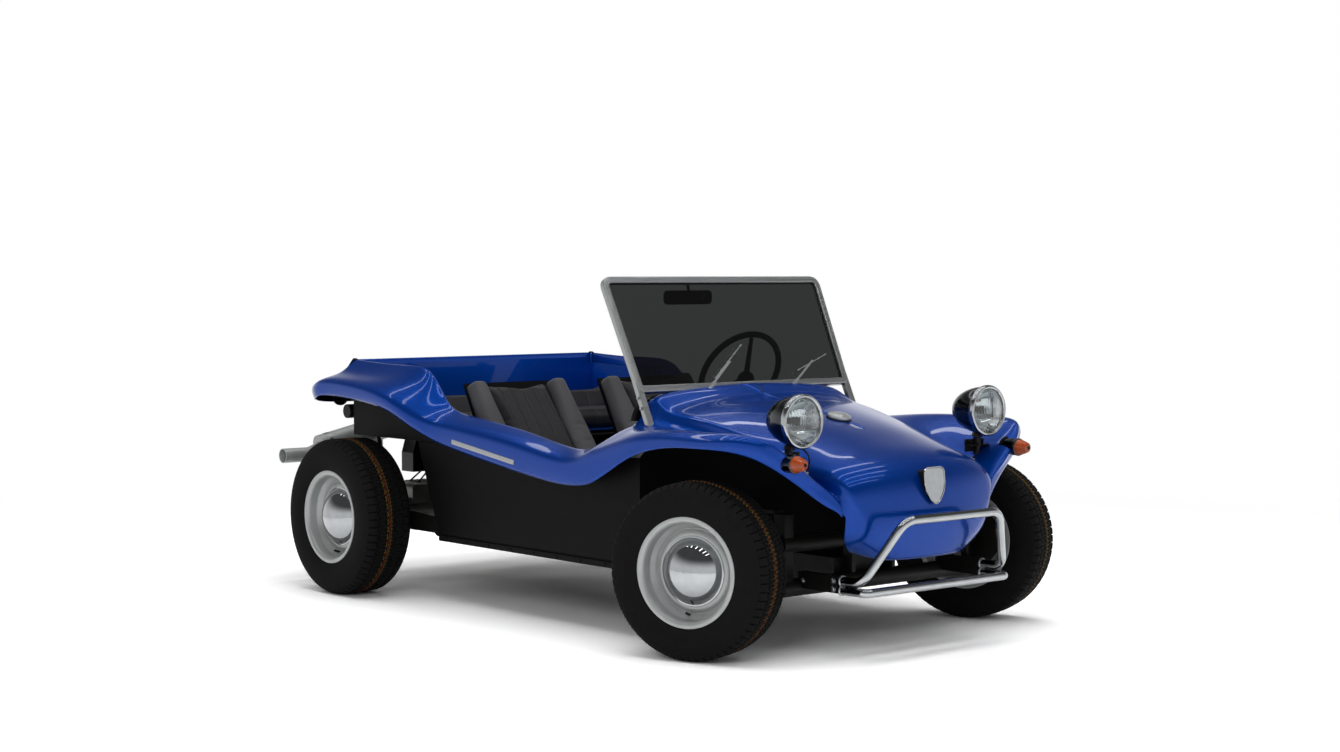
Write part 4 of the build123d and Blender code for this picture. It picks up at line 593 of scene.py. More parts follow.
def slab(low, high, ease=2.0, place=CAR, corner=0.0):
    """A box between two corners with eased edges; corner rounds its outline in own Y and Z."""
    outline = [(low[1], low[2]), (high[1], low[2]), (high[1], high[2]), (low[1], high[2])]
    if corner:
        outline = rounded(outline, corner, 6)
    return plate(outline, low[0], high[0], ease, place)


def bar(start, end, width, gauge, up, ease=1.0):
    """A straight flat bar between two car places, its width towards up."""
    a, b = at(*start), at(*end)
    reach = (b - a).length / MM
    return slab((0, -gauge / 2, -width / 2), (reach, gauge / 2, width / 2), ease, axis_frame(a, b - a, up))


def trim_ring(outline, profile, place):
    """A moulding swept round a closed outline in own Y and Z; the profile is outward and along X."""
    vertices, faces = [], []
    count, sides = len(outline), len(profile)
    for i, p in enumerate(outline):
        run = (outline[(i + 1) % count] - outline[i - 1]).normalized()
        n = Vector((run.y, -run.x))
        for out, x in profile:
            vertices.append(place @ Vector((x, p.x + n.x * out, p.y + n.y * out)))
    for i in range(count):
        j = (i + 1) % count
        for k in range(sides):
            m = (k + 1) % sides
            faces.append((i * sides + k, i * sides + m, j * sides + m, j * sides + k))
    return vertices, faces


def bolt(place, direction, radius=7.0):
    """Hexagon head on a washer, its axis along a direction from a car place."""
    spot = axis_frame(at(*place), direction, up=(0.3, 0.2, 1))
    head = Bundle()
    head.put(lathe([(-1, 0.3), (-1, radius * 1.5), (1.2, radius * 1.5), (1.6, radius * 1.4), (1.6, 0.3)], 20, spot))
    head.put(lathe([(1.6, 0.3), (1.6, radius), (5.5, radius), (6.8, radius * 0.86), (6.8, 0.3)], 6, spot))
    return head.vertices, head.faces


def tube(points, radius, bend=0.0, sides=16, steps=8):
    """A round tube along car places."""
    return sweep([at(*p) for p in points], radius * MM, bend * MM, sides, steps)


def both(points):
    """Left-hand car places followed by their mirror images, as one run across the car."""
    return list(points) + [(-x, y, z) for x, y, z in reversed(points)]


# Smooth surfaces through a grid of points
def spline_matrix(count, steps):
    """Weights of the control points and their phantoms for points spaced along a cubic spline."""
    spans = count - 1
    rows = []
    for i in range(spans):
        for k in range(steps + (i == spans - 1)):
            t = k / steps
            weights = [(1 - t) ** 3, 3 * t**3 - 6 * t**2 + 4, -3 * t**3 + 3 * t**2 + 3 * t + 1, t**3]
            row = np.zeros(count + 2)
            row[i : i + 4] = np.array(weights) / 6
            rows.append(row)
    return np.array(rows)


MIRROR = np.array([-1.0, 1.0, 1.0])


def extended(grid):
    """The grid with one phantom row and column past each side; the centre plane mirrors two of them."""
    top = 2 * grid[0] - grid[1]
    bottom = grid[-2] * MIRROR
    grid = np.concatenate([top[None], grid, bottom[None]])
    first = grid[:, 1] * MIRROR
    last = 2 * grid[:, -1] - grid[:, -2]
    return np.concatenate([first[:, None], grid, last[:, None]], axis=1)


FIT_PASSES = 6
FIT_SHARE = 0.8  # share of the remaining error that each pass takes out


def fitted(targets):
    """Control points whose smooth surface passes near the target points."""
    control = targets.copy()
    w = np.array([1, 4, 1]) / 6
    for _ in range(FIT_PASSES):
        big = extended(control)
        rows = w[0] * big[:-2] + w[1] * big[1:-1] + w[2] * big[2:]
        limit = w[0] * rows[:, :-2] + w[1] * rows[:, 1:-1] + w[2] * rows[:, 2:]
        control = control + (targets - limit) * FIT_SHARE
    return control


def smooth_surface(targets, row_steps, column_steps):
    """Dense points of the smooth surface through a grid of target points."""
    control = fitted(targets)
    big = extended(control)
    along = spline_matrix(targets.shape[0], row_steps)
    across = spline_matrix(targets.shape[1], column_steps)
    return np.einsum("ai,ijk,bj->abk", along, big, across)


# The body moulding. Left half, front to back; the bonnet's columns are along, crown height, lean
# from upright in degrees, and shoulder as half width and drop.
BONNET = (
    (-402, 318, 100, 185, 20),
    (-418, 392, 95, 252, 18),
    (-428, 472, 88, 285, 24),
    (-412, 566, 68, 318, 26),
    (-352, 645, 42, 322, 34),
    (-215, 698, 23, 332, 42),
    (-60, 744, 16, 350, 45),
    (130, 788, 11, 378, 42),
    (300, 818, 8, 402, 34),
    (420, 836, 5, 416, 26),
    (515, 848, 2, 426, 18),
)
# Cheek, valley, inner curve, crest, outer curve, shoulder and lip, each across, along, up
WING = (
    ((252, -350, 336), (300, -322, 354), (302, -320, 354), (304, -318, 354), (306, -316, 354), (308, -314, 354),
    (310, -312, 354)),
    ((308, -372, 396), (338, -341, 402), (340, -339, 402), (342, -337, 402), (344, -335, 402), (346, -333, 402),
    (348, -331, 402)),
    ((326, -384, 474), (350, -358, 476), (352, -357, 478), (354, -357, 479), (356, -356, 478), (358, -355, 476),
    (359, -353, 472)),
    ((350, -366, 542), (364, -338, 536), (384, -336, 546), (403, -335, 556), (413, -333, 549), (418, -332, 535),
    (414, -330, 513)),
    ((368, -296, 590), (378, -268, 562), (430, -300, 592), (480, -319, 613), (500, -313, 612), (511, -305, 598),
    (508, -299, 582)),
    ((384, -190, 606), (396, -180, 588), (488, -222, 648), (596, -262, 722), (634, -256, 730), (656, -246, 714),
    (655, -236, 676)),
    ((392, -60, 664), (410, -62, 634), (512, -62, 676), (634, -62, 745), (684, -62, 742), (704, -60, 720),
    (703, -58, 696)),
    ((416, 130, 728), (436, 130, 690), (538, 130, 708), (634, 130, 747), (682, 130, 741), (703, 130, 720),
    (705, 130, 691)),
    ((446, 300, 764), (474, 300, 724), (562, 300, 725), (632, 300, 739), (677, 300, 727), (702, 300, 702),
    (706, 300, 655)),
    ((466, 420, 786), (500, 420, 742), (574, 420, 734), (629, 420, 724), (673, 420, 702), (701, 420, 671),
    (706, 420, 599)),
    ((480, 515, 796), (512, 515, 748), (570, 515, 726), (628, 515, 702), (673, 515, 674), (702, 515, 642),
    (706, 515, 552)),
)
# Along, then inner edge, inner curve, crest, outer curve, shoulder and lip as across and up
RAIL = (
    (566, (604, 646), (610, 666), (625, 681), (673, 660), (703, 626), (705, 536)),
    (640, (611, 618), (614, 640), (628, 653), (676, 636), (705, 602), (704, 528)),
    (770, (612, 618), (615, 642), (629, 655), (678, 638), (706, 602), (704, 532)),
    (1000, (612, 656), (615, 680), (629, 693), (679, 674), (708, 635), (706, 559)),
    (1250, (612, 686), (615, 710), (629, 723), (681, 704), (713, 666), (711, 596)),
    (1430, (612, 706), (615, 730), (629, 744), (683, 724), (719, 690), (717, 628)),
    (1530, (612, 752), (615, 777), (628, 791), (682, 758), (733, 716), (732, 660)),
    (1620, (611, 838), (614, 864), (626, 877), (676, 822), (747, 752), (748, 697)),
    (1740, (609, 872), (612, 897), (622, 908), (672, 860), (758, 800), (760, 744)),
    (1931, (606, 874), (609, 899), (620, 911), (674, 866), (760, 832), (762, 772)),
    (2160, (605, 882), (608, 908), (620, 920), (675, 874), (762, 845), (764, 784)),
)
TAIL_PIVOT = 588
TAIL_TURNS = ((30, 1.12), (60, 1.27), (90, 1.32))  # degrees round and reach
TAIL_DROP = 44
TAIL_SPANS = (0.5, 0.0)  # shares of the pivot's distance from the centre plane
CROWN_COLUMN = (0.55, 0.20)  # shares of shoulder half width and drop
BONNET_COLUMNS = 3
FIRST_WING_ROW = 2
BODY_GAUGE = 5.0
LINER_ROW = 17  # target row where the wall of the load well starts
LINER_FOOT = 634
LINER_GAUGE = 3.0
ROW_STEPS = 8
COLUMN_STEPS = 8


def body_targets():
    """The grid of target points over the left half; phantom columns fill the cockpit."""
    rows = []
    for (along, crown, lean, half, drop), wing in zip(BONNET, WING):
        back, down = sin(radians(lean)), cos(radians(lean))
        row = [at(x, along + d * back, crown - d * down) for x,
            d in ((0, 0), (half * CROWN_COLUMN[0], drop * CROWN_COLUMN[1]), (half, drop))]
        rows.append(row + [at(*p) for p in wing])
    sections = [[at(x, along, up) for x, up in points] for along, *points in RAIL]
    last = RAIL[-1]
    turned = []
    for turn, reach in TAIL_TURNS:
        a = radians(turn)
        section = []
        for i, (x, up) in enumerate(last[1:]):
            out = (x - TAIL_PIVOT) * reach
            fall = TAIL_DROP * turn / 90 * (0, 0, 0, 0.5, 1, 1)[i]
            section.append(at(TAIL_PIVOT + out * cos(a), last[0] + out * sin(a), up - fall))
        turned.append(section)
    for share in TAIL_SPANS:
        turned.append([Vector((TAIL_PIVOT * MM * share, p.y, p.z)) for p in turned[2]])
    for section in sections + turned:
        edge, step = section[0], section[0] - section[1]
        rows.append([edge + step * (BONNET_COLUMNS + 1 - k) for k in range(BONNET_COLUMNS + 1)] + section)
    return np.array(rows)


def body_moulding():
    """Bonnet, wings, cockpit rails and tail as one glass fibre moulding."""
    targets = body_targets()
    dense = smooth_surface(targets, ROW_STEPS, COLUMN_STEPS)
    rows, columns, _ = dense.shape
    first_wing_row, last_bonnet_row = FIRST_WING_ROW * ROW_STEPS, (len(BONNET) - 1) * ROW_STEPS
    edge_column = (BONNET_COLUMNS + 1) * COLUMN_STEPS
    faces = []
    for i in range(rows - 1):
        for j in range(columns - 1):
            if i < first_wing_row and j >= edge_column or i >= last_bonnet_row and j < edge_column:
                continue
            a = i * columns + j
            faces.append((a, a + columns, a + columns + 1, a + 1))
    vertices = dense.reshape(-1, 3)
    vertices[:, 0] = np.where(np.abs(vertices[:, 0]) < 1e-5, 0, vertices[:, 0])
    body = new_piece("body_moulding", vertices, faces, BLUE, slot="blue_paint")
    edit = bmesh.new()
    edit.from_mesh(body.data)
    bmesh.ops.delete(edit, geom=[v for v in edit.verts if not v.link_faces], context="VERTS")
    bmesh.ops.mirror(edit, geom=edit.verts[:] + edit.edges[:] + edit.faces[:], axis="X", merge_dist=1e-5)
    bmesh.ops.recalc_face_normals(edit, faces=edit.faces)
    edit.to_mesh(body.data)
    edit.free()
    body.data.shade_smooth()
    top = max(body.data.polygons, key=lambda p: p.center.z)
    if top.normal.z < 0:
        body.data.flip_normals()
    thicken(body, BODY_GAUGE * MM, BLACK_BODY)
    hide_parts("body_bonnet", "body_wing_left", "body_wing_right", "body_rail_left", "body_rail_right",
        "body_tail")
    line_well(dense[LINER_ROW * ROW_STEPS :, edge_column])


def line_well(edge):
    """Blue wall that hangs from the rear rim's inner edge down to the load floor."""
    sides = [Vector((side * p[0], p[1], p[2])) for side, points in ((1, edge), (-1, edge[-2::-1])) for p in points]
    count = len(sides)
    vertices = [p for p in sides] + [Vector((p.x, p.y, LINER_FOOT * MM)) for p in sides]
    faces = [(i, i + 1, count + i + 1, count + i) for i in range(count - 1)]
    liner = new_piece("load_well_liner", vertices, faces, BLUE, slot="blue_paint")
    if liner.data.polygons[0].normal.x * liner.data.polygons[0].center.x > 0:
        liner.data.flip_normals()
    thicken(liner, LINER_GAUGE * MM, BLACK_BODY)


# Wheels. Along the axle from the outer lip's face in millimetres, outboard positive
LIP_RADIUS = 184
TYRE_BULGE = 8
FRONT_TYRE = (296, 188)
REAR_TYRE = (309, 208)
RIM_SEGMENTS = 72
TREAD_SEGMENTS = 640  # ten to a block, so every sipe has its own row
WHEELS = {"fr": (-1, FRONT_TYRE), "fl": (1, FRONT_TYRE), "rr": (-1, REAR_TYRE), "rl": (1, REAR_TYRE)}
CAP_RING = -57


def wheel_frame(key):
    """Matrix from the wheel's own space, +X outboard, to the frame."""
    joint = JOINTS[f"wheel_{key}_spin"]
    side = WHEELS[key][0]
    axle = Vector(joint["axis"]) * side
    ahead = Vector((0, 0, 1)).cross(axle)
    place = Matrix((axle, ahead, (0, 0, 1))).transposed().to_4x4()
    place.translation = Vector(joint["pos_m"])
    return place @ Matrix.Scale(MM, 4)


def rim_outline(width):
    """Closed outline of the pressed rim and disc, outer face first."""
    back = -(width - 2 * TYRE_BULGE)
    return [
        (0, 184), (-5, 184), (-6, 171), (-10, 167), (-40, 165), (-54, 150), (back + 56, 150), (back + 42, 165),
        (back + 8, 167),
        (back + 5, 171), (back + 4, 184), (back, 184), (back + 2, 166), (back + 40, 160), (back + 54, 145),
        (-78, 145), (-77, 140), (-63, 128), (-58, 122), (-60, 117), (-72, 108), (-74, 92), (-74, 20), (-69, 20),
        (-69, 92),
        (-66, 106), (-56, 112), (-52, 121), (-56, 132), (-66, 141), (-58, 145), (-42, 160), (-12, 162), (-4, 166),
        (0, 172),
    ]


def make_rim(key, place):
    """Pressed rim and disc with its valve, and the brake drum behind it."""
    outline = rounded(rim_outline(WHEELS[key][1][1]), 4, 3)
    rim = Bundle()
    rim.put(lathe(outline, RIM_SEGMENTS, place))
    a = radians(-96)
    foot = Vector((-70, 150 * cos(a), 150 * sin(a)))
    tip = Vector((-34, 138 * cos(a), 138 * sin(a)))
    rim.put(sweep([place @ foot, place @ foot.lerp(tip, 0.5), place @ tip], 4.5 * MM, sides=10), 1)
    drum = [(-76, 20), (-76, 100), (-80, 108), (-92, 114), (-107, 114), (-107, 20)]
    rim.put(lathe(rounded(drum, 3, 2), RIM_SEGMENTS // 2, place), 2)
    made = rim.piece(f"pressed_rim_{key}", [WHEEL_GREY, PLASTIC, CHASSIS], body=f"wheel_{key}", slot="wheel_paint")
    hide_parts(f"wheel_{key}")


def make_cap(key, place):
    """Domed cap with a rolled rim."""
    outline = [(CAP_RING + 9 * cos(a), 110 + 9 * sin(a)) for a in (0.2, 0.7, 1.2, 1.7)]
    base, height, radius = CAP_RING + 6, 61, 111
    sphere = (radius**2 + height**2) / (2 * height)
    spread = np.arcsin(radius / sphere)
    dome = [(base + height - sphere + sphere * cos(a), sphere * sin(a)) for a in np.linspace(spread, 0.0, 22)]
    outline = [(CAP_RING - 2, 119), (CAP_RING + 2, 119), (CAP_RING + 5, 116)] + dome[:-1] + [(base + height, 0.4)]
    inner = [(x - 2, max(r - 2, 0.3)) for x, r in reversed(outline)]
    cap = new_piece(f"domed_cap_{key}", *lathe(outline + inner, RIM_SEGMENTS, place), CHROME, body=f"wheel_{key}",
        slot="chrome")
    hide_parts(f"hub_cap_{key}")


GROOVE_DEPTH = 7.0
GROOVE_REACH = 0.030
GROOVES = ((-0.62, 0.05), (-0.22, 0.07), (0.22, 0.07), (0.62, 0.05))  # centre and swing, as shares of half the tread
SLOT_SKEW, SLOT_REACH = 0.10, 0.07  # shares of a block's pitch
SHOULDER_SHARE = 0.66  # slots lie outside it, and sipes inside the siped share of half the tread
SIPE_DEPTH = 3.2
SIPE_SKEW, SIPE_REACH = 0.8, 0.101
SIPED_SHARE = 0.6
BLOCK_COUNT = 64
CROWN_RINGS = 48
STRIPE_SHARE = 0.40  # of the tread's width, where the first marking line runs


def tyre_section(radius, width):
    """Outer half outline from bead to crown as (along, radius), about the tyre's middle."""
    half = width / 2 - TYRE_BULGE
    h = radius - LIP_RADIUS
    return [
        (half - 6, 168), (half - 5, 182), (half - 1, 186), (half + 3, LIP_RADIUS + 0.14 * h),
        (half + 7, LIP_RADIUS + 0.30 * h),
        (half + 8, LIP_RADIUS + 0.45 * h), (half + 7.5, LIP_RADIUS + 0.60 * h), (half + 5, LIP_RADIUS + 0.74 * h),
        (half + 1, LIP_RADIUS + 0.85 * h),
    ]


def make_tyre(key, place):
    """Carcass with plain walls, and a tread cut with blocks, grooves and sipes."""
    radius, width = WHEELS[key][1]
    half = width / 2 - TYRE_BULGE
    wall = rounded(tyre_section(radius, width), 6, 1, closed=False)
    edge = half - 4
    crown = []
    for k in range(CROWN_RINGS + 1):
        x = edge - 2 * edge * k / CROWN_RINGS
        share = abs(x) / edge
        drop = 4.0 * share**2 + 9.0 * max(0.0, (share - 0.78) / 0.22) ** 2
        crown.append((x, radius - drop))
    outline = [(x, r) for x, r in wall] + crown + [(-x, r) for x, r in reversed(wall)]
    xs = np.array([p[0] for p in outline])
    rs = np.array([p[1] for p in outline])
    turn = np.arange(TREAD_SEGMENTS) * tau / TREAD_SEGMENTS
    x = np.repeat(xs[None], TREAD_SEGMENTS, 0)
    r = np.repeat(rs[None], TREAD_SEGMENTS, 0)
    start, end = len(wall), len(wall) + CROWN_RINGS + 1
    u = x[:, start:end] / edge
    phase = (turn * BLOCK_COUNT / tau)[:, None]
    cut = np.zeros_like(u)
    for centre, swing in GROOVES:
        zigzag = np.abs((phase % 1.0) - 0.5) * 4 - 1
        cut = np.maximum(cut, GROOVE_DEPTH * (np.abs(u - centre - swing * zigzag) < GROOVE_REACH))
    slot = np.abs(((phase + SLOT_SKEW * np.sign(u)) % 1.0) - 0.5) < SLOT_REACH
    cut = np.maximum(cut, GROOVE_DEPTH * (slot & (np.abs(u) > SHOULDER_SHARE)))
    sipe = np.abs(((phase * 2 + SIPE_SKEW * u) % 1.0) - 0.5) < SIPE_REACH
    cut = np.maximum(cut, SIPE_DEPTH * (sipe & (np.abs(u) < SIPED_SHARE)))
    r[:, start:end] -= cut
    verts = np.stack([x - half, r * np.cos(turn)[:, None], r * np.sin(turn)[:, None]], -1)
    n = len(outline)
    matrix = np.array(place)
    flat = verts.reshape(-1, 3) @ matrix[:3, :3].T + matrix[:3, 3]
    faces, finish = [], []
    first = start + int(CROWN_RINGS * STRIPE_SHARE)
    stripes = {first: 2, first + 2: 1, first + 4: 2}
    for k in range(TREAD_SEGMENTS):
        m = (k + 1) % TREAD_SEGMENTS
        for i in range(n - 1):
            faces.append((k * n + i, k * n + i + 1, m * n + i + 1, m * n + i))
            finish.append(stripes.get(i, 0))
    tyre = new_piece(f"cut_tyre_{key}", flat, faces, [RUBBER, STRIPE_RED, STRIPE_YELLOW], body=f"wheel_{key}",
        slot="tyre_rubber", finish=finish)
    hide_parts(f"tyre_{key}")


def make_wheels():
    """Rim, cap and tyre on each of the four hubs."""
    for key in WHEELS:
        place = wheel_frame(key)
        make_rim(key, place)
        make_cap(key, place)
        make_tyre(key, place)


# Windscreen, wipers and mirror
SCREEN_RAKE = radians(25.5)
SCREEN_FOOT = (504, 862)
SCREEN_TOP = 1258
SCREEN_HALF = (522, 540)
SCREEN_CORNERS = (18, 18, 46, 46)
SCREEN = axis_frame(at(0, *SCREEN_FOOT), (0, -cos(SCREEN_RAKE), sin(SCREEN_RAKE)),
    up=(0, sin(SCREEN_RAKE), cos(SCREEN_RAKE)))
# Outward and along X, round the section of the frame and of its gasket
BAR_PROFILE = (
    (13, -8), (11, -11), (8, -12), (-9, -12), (-12, -11), (-13, -9), (-13, -5), (-10, -4), (-10, 4), (-13, 5),
    (-13, 9),
    (-12, 11), (-9, 12), (-5, 12), (-4, 11), (4, 11), (5, 12), (8, 12), (11, 11), (13, 8),
)
GASKET_PROFILE = ((-9, -4.5), (-15, -4.5), (-17, -3), (-17, 3), (-15, 4.5), (-9, 4.5))


def screen_outline(inset):
    """The screen's rounded outline, moved inward by the inset."""
    height = (SCREEN_TOP - SCREEN_FOOT[1]) / cos(SCREEN_RAKE) - inset
    low, high = (half - inset for half in SCREEN_HALF)
    foot = inset - 13
    return rounded([(-low, foot), (low, foot), (high, height), (-high, height)],
        tuple(c - inset for c in SCREEN_CORNERS), 8)


def screen_side(side, up):
    """Car place on the outer face of a windscreen side bar, up its rake."""
    return side * 524, SCREEN_FOOT[0] + up * sin(SCREEN_RAKE), SCREEN_FOOT[1] + up * cos(SCREEN_RAKE)


def make_windscreen():
    """Extruded frame with its rubber gasket, and a leg with two bolts down each side."""
    frame_bar = Bundle()
    frame_bar.put(trim_ring(screen_outline(13), BAR_PROFILE, SCREEN))
    frame_bar.put(trim_ring(screen_outline(13), GASKET_PROFILE, SCREEN), 1)
    for side in (-1, 1):
        foot = [(side * 498, -150), (side * 524, -150), (side * 524, 30), (side * 498, 30)]
        frame_bar.put(plate([(y, z) for y, z in foot], -11.5, 11.5, 2.5, SCREEN))
        for up in (-30, -70):
            frame_bar.put(bolt(screen_side(side, up), (side, 0, 0), 5), 2)
    made = frame_bar.piece("windscreen_surround", [ALUMINIUM, WELT, STEEL], slot="screen_alloy")
    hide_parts("windscreen_frame")


# Pivot, arm's end, and the two ends of the blade
WIPERS = (
    ((-205, 492, 850), (-64, 540, 943), (-152, 520, 887), (11, 565, 999)),
    ((205, 492, 846), (354, 538, 935), (271, 525, 904), (428, 545, 956)),
)


def make_wipers():
    """Two pivots with an arm and a blade that lies on the glass."""
    ahead = Vector((0, -cos(SCREEN_RAKE), sin(SCREEN_RAKE)))
    lift = tuple(ahead * 20)
    low = tuple(ahead * 13)
    made = Bundle()
    for points in WIPERS:
        pivot, end, start, stop = (tuple(a + b for a, b in zip(p, lift)) for p in points)
        cap = [(-70, 0.3), (-70, 8), (-46, 8), (-46, 13), (-40, 13), (-38, 9), (-4, 9), (2, 8), (5, 5), (6, 0.3)]
        made.put(lathe(cap, 24, axis_frame(at(*pivot), (0, -0.25, 1))))
        knee = tuple(a + (b - a) * 0.26 for a, b in zip(pivot, end))
        across = ahead.cross(Vector(end) - Vector(pivot))
        made.put(bar(pivot, knee, 12, 6, across, 1.8))
        made.put(bar(knee, end, 7, 4, across, 1.2))
        made.put(bar(tuple(a * 0.96 + b * 0.04 for a, b in zip(end, knee)), end, 9, 6, ahead, 1.2))
        made.put(bar(start, stop, 6, 3, ahead, 0.8))
        for share in (0.0, 0.25, 0.5, 0.75, 1.0):
            clip = tuple(a + (b - a) * share for a, b in zip(start, stop))
            made.put(slab((-5, -2.5, -6), (5, 2.5, 3), 0.8,
                axis_frame(at(*clip), Vector(stop) - Vector(start), ahead)))
        edge = [tuple(a - b for a, b in zip(p, low)) for p in (start, stop)]
        made.put(bar(*[tuple(a + c * 0.45 for a, c in zip(p, low)) for p in edge], 8, 2.2, ahead, 0.4), 1)
    piece = made.piece("wiper_arms", [BRUSHED, WELT], slot="bright_steel")
    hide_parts("wipers")


def make_mirror():
    """Inside mirror on a stem from the frame's top bar."""
    spot = axis_frame(at(-120, 691.6, 1183), (0, 1, 0))
    outline = rounded([(-115, -26), (115, -26), (115, 26), (-115, 26)], 20, 8)
    made = Bundle()
    made.put(plate(outline, -8, 6.5, 6, spot))
    made.put(trim_ring(outline, ((-3.5, 5), (-0.5, 5), (0, 7), (-1, 8), (-3.5, 8)), spot))
    made.put(plate(inset_outline([Vector(p) for p in outline], 3), 6, 7.4, 0.4, spot), 1)
    made.put(lathe([(-12, 0.3), (-12, 12), (-8, 13), (-6, 13), (-6, 0.3)], 28,
        axis_frame(at(-58, 691.6, 1187), (0, 1, 0))), 2)
    made.put(tube([(-120, 690, 1200), (-120, 693, 1222), (-120, 700, 1240)], 5.5, 14, 12))
    made.put(lathe([(-12, 0.3), (-9, 8), (0, 11), (9, 8), (12, 0.3)], 24, axis_frame(at(-120, 691, 1210), (0, 0, 1))))
    piece = made.piece("mirror_on_stem", [PLASTIC, REFLECTOR, WHEEL_GREY], slot="mirror_black")
    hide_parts("mirror")


# Lamps
LAMP = (455, -266, 788)
LAMP_RADIUS = 86
LAMP_LENGTH = 152
LENS_RINGS = 40
LENS_SEGMENTS = 120
FLUTE_PITCH = 9.5


def lamp_lens(spot):
    """Domed lens, its face drawn with upright flutes and a plain band low down."""
    radius, rise, gauge = 80.0, 20.0, 5.0
    outline = [(rise * (1 - (k / LENS_RINGS) ** 2),
        radius * max(k / LENS_RINGS, 0.004)) for k in range(LENS_RINGS + 1)]
    outline += [(x - gauge, r * 0.97) for x, r in reversed(outline)]
    vertices, faces = lathe(outline, LENS_SEGMENTS, Matrix.Identity(4))
    for v in vertices:
        reach = hypot(v.y, v.z)
        if reach < radius * 0.93 and v.x > rise * (1 - (reach / radius) ** 2) - gauge / 2:
            band = 1.0 if v.z > -radius * 0.35 else 0.35
            v.x += 1.7 * band * abs(sin(pi * v.y / FLUTE_PITCH)) - 0.6 * (abs(v.z + radius * 0.35) < 1.6)
    return [spot @ v for v in vertices], faces


def make_headlamps():
    """Bullet lamps on posts with rims, reflectors, bulb shields, brackets and fluted glasses."""
    shells, lenses = Bundle(), Bundle()
    for side in (-1, 1):
        spot = axis_frame(at(side * LAMP[0], *LAMP[1:]), (0, -1, 0))
        outer = [(-LAMP_LENGTH * sin(a), max(LAMP_RADIUS * cos(a), 0.4)) for a in np.linspace(0.07, pi / 2, 26)]
        inner = [(x * 0.965, max(r - 3, 0.2)) for x, r in reversed(outer)]
        shells.put(lathe(outer + inner, 72, spot))
        ring = [(3, 77), (7, 79), (9, 83), (8, 87), (4, 90), (-4, 91), (-10, 90), (-14, 87.5), (-14, 84), (-4, 83),
            (0, 78)]
        shells.put(lathe(rounded(ring, 3, 2), 96, spot), 1)
        bowl = [(-4, 78), (-26, 68), (-46, 54), (-60, 38), (-68, 20), (-70, 9), (-72, 9), (-72, 20), (-64, 40),
            (-50, 56), (-30, 70), (-6, 80)]
        shells.put(lathe(bowl, 72, spot), 2)
        bulb = [(-70, 0.3), (-70, 10), (-48, 10), (-44, 16), (-20, 16), (-15, 13), (-13, 6), (-12, 0.3)]
        shells.put(lathe(bulb, 32, spot), 3)
        low = side * 464
        shells.put(tube([(low - side * 4, -214, 726), (low, -208, 690), (low + side * 4, -203, 632)], 13, 20, 24), 3)
        nut = axis_frame(at(low - side * 2, -211, 704), (0, -0.1, 1))
        shells.put(lathe([(-12, 0.3), (-12, 20), (-2, 20), (4, 16), (8, 14), (8, 0.3)], 6, nut), 3)
        ends = sorted((side * 407, side * 505))
        shells.put(slab((ends[0], -230, 661), (ends[1], -198, 666), 1.5), 4)
        shells.put(slab((ends[0], -203, 640), (ends[1], -198, 684), 1.5), 4)
        for x in (424, 488):
            shells.put(bolt((side * x, -206, 674), (0, -1, 0), 5), 4)
        loop = [(450, -220, 712), (432, -250, 694), (418, -262, 668), (412, -250, 636), (410, -232, 612)]
        shells.put(tube([(side * x, y, z) for x, y, z in loop], 3, 16, 10), 3)
        seat = axis_frame(at(side * 410, -233, 616), (0, -0.3, 1))
        shells.put(lathe([(-5, 0.3), (-5, 9), (0, 10), (4, 8), (5, 3), (5, 0.3)], 20, seat), 5)
        lenses.put(lamp_lens(spot))
    made = shells.piece("headlamp_bullets", [DARK_CHROME, CHROME, REFLECTOR, PLASTIC, CHASSIS, WHEEL_GREY],
        slot="chrome")
    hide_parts("headlamp_shells")
    made = lenses.piece("headlamp_glasses", LAMP_GLASS, slot="lamp_glass")
    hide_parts("headlamp_lenses")


def make_indicators():
    """Cylindrical pods below the lamps, with stepped amber cones."""
    pods, cones = Bundle(), Bundle()
    for side in (-1, 1):
        spot = axis_frame(at(side * 548, -272, 657), (0, -1, 0))
        pod = [(0, 0.3), (0, 27), (6, 30), (52, 30), (54, 31.5), (59, 31.5), (61, 29), (61, 0.3)]
        pods.put(lathe(rounded(pod, 1.5, 2), 48, spot))
        pods.put(lathe([(-6, 28), (-6, 34), (-2, 35), (3, 34), (4, 30), (4, 28)], 48, spot), 1)
        steps = 9
        outline = [(60, 0.3), (60, 28.5)]
        for k in range(steps):
            share = k / steps
            radius = 28.5 - 12.5 * share**1.25
            outline += [(61 + 38 * share, radius), (61 + 38 * (share + 0.72 / steps), radius - 0.4)]
        outline += [(100, 14), (102, 11), (102.3, 0.3)]
        cones.put(lathe(outline, 18, spot))
        cones.put(lathe([(102, 0.3), (102, 7), (104, 6), (104, 0.3)], 6, spot), 1)
    made = pods.piece("indicator_housings", [DARK_CHROME, WELT], slot="chrome")
    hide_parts("indicator_pods")
    made = cones.piece("indicator_cones", [AMBER, WELT], slot="amber_lens")
    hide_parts("indicator_lenses")


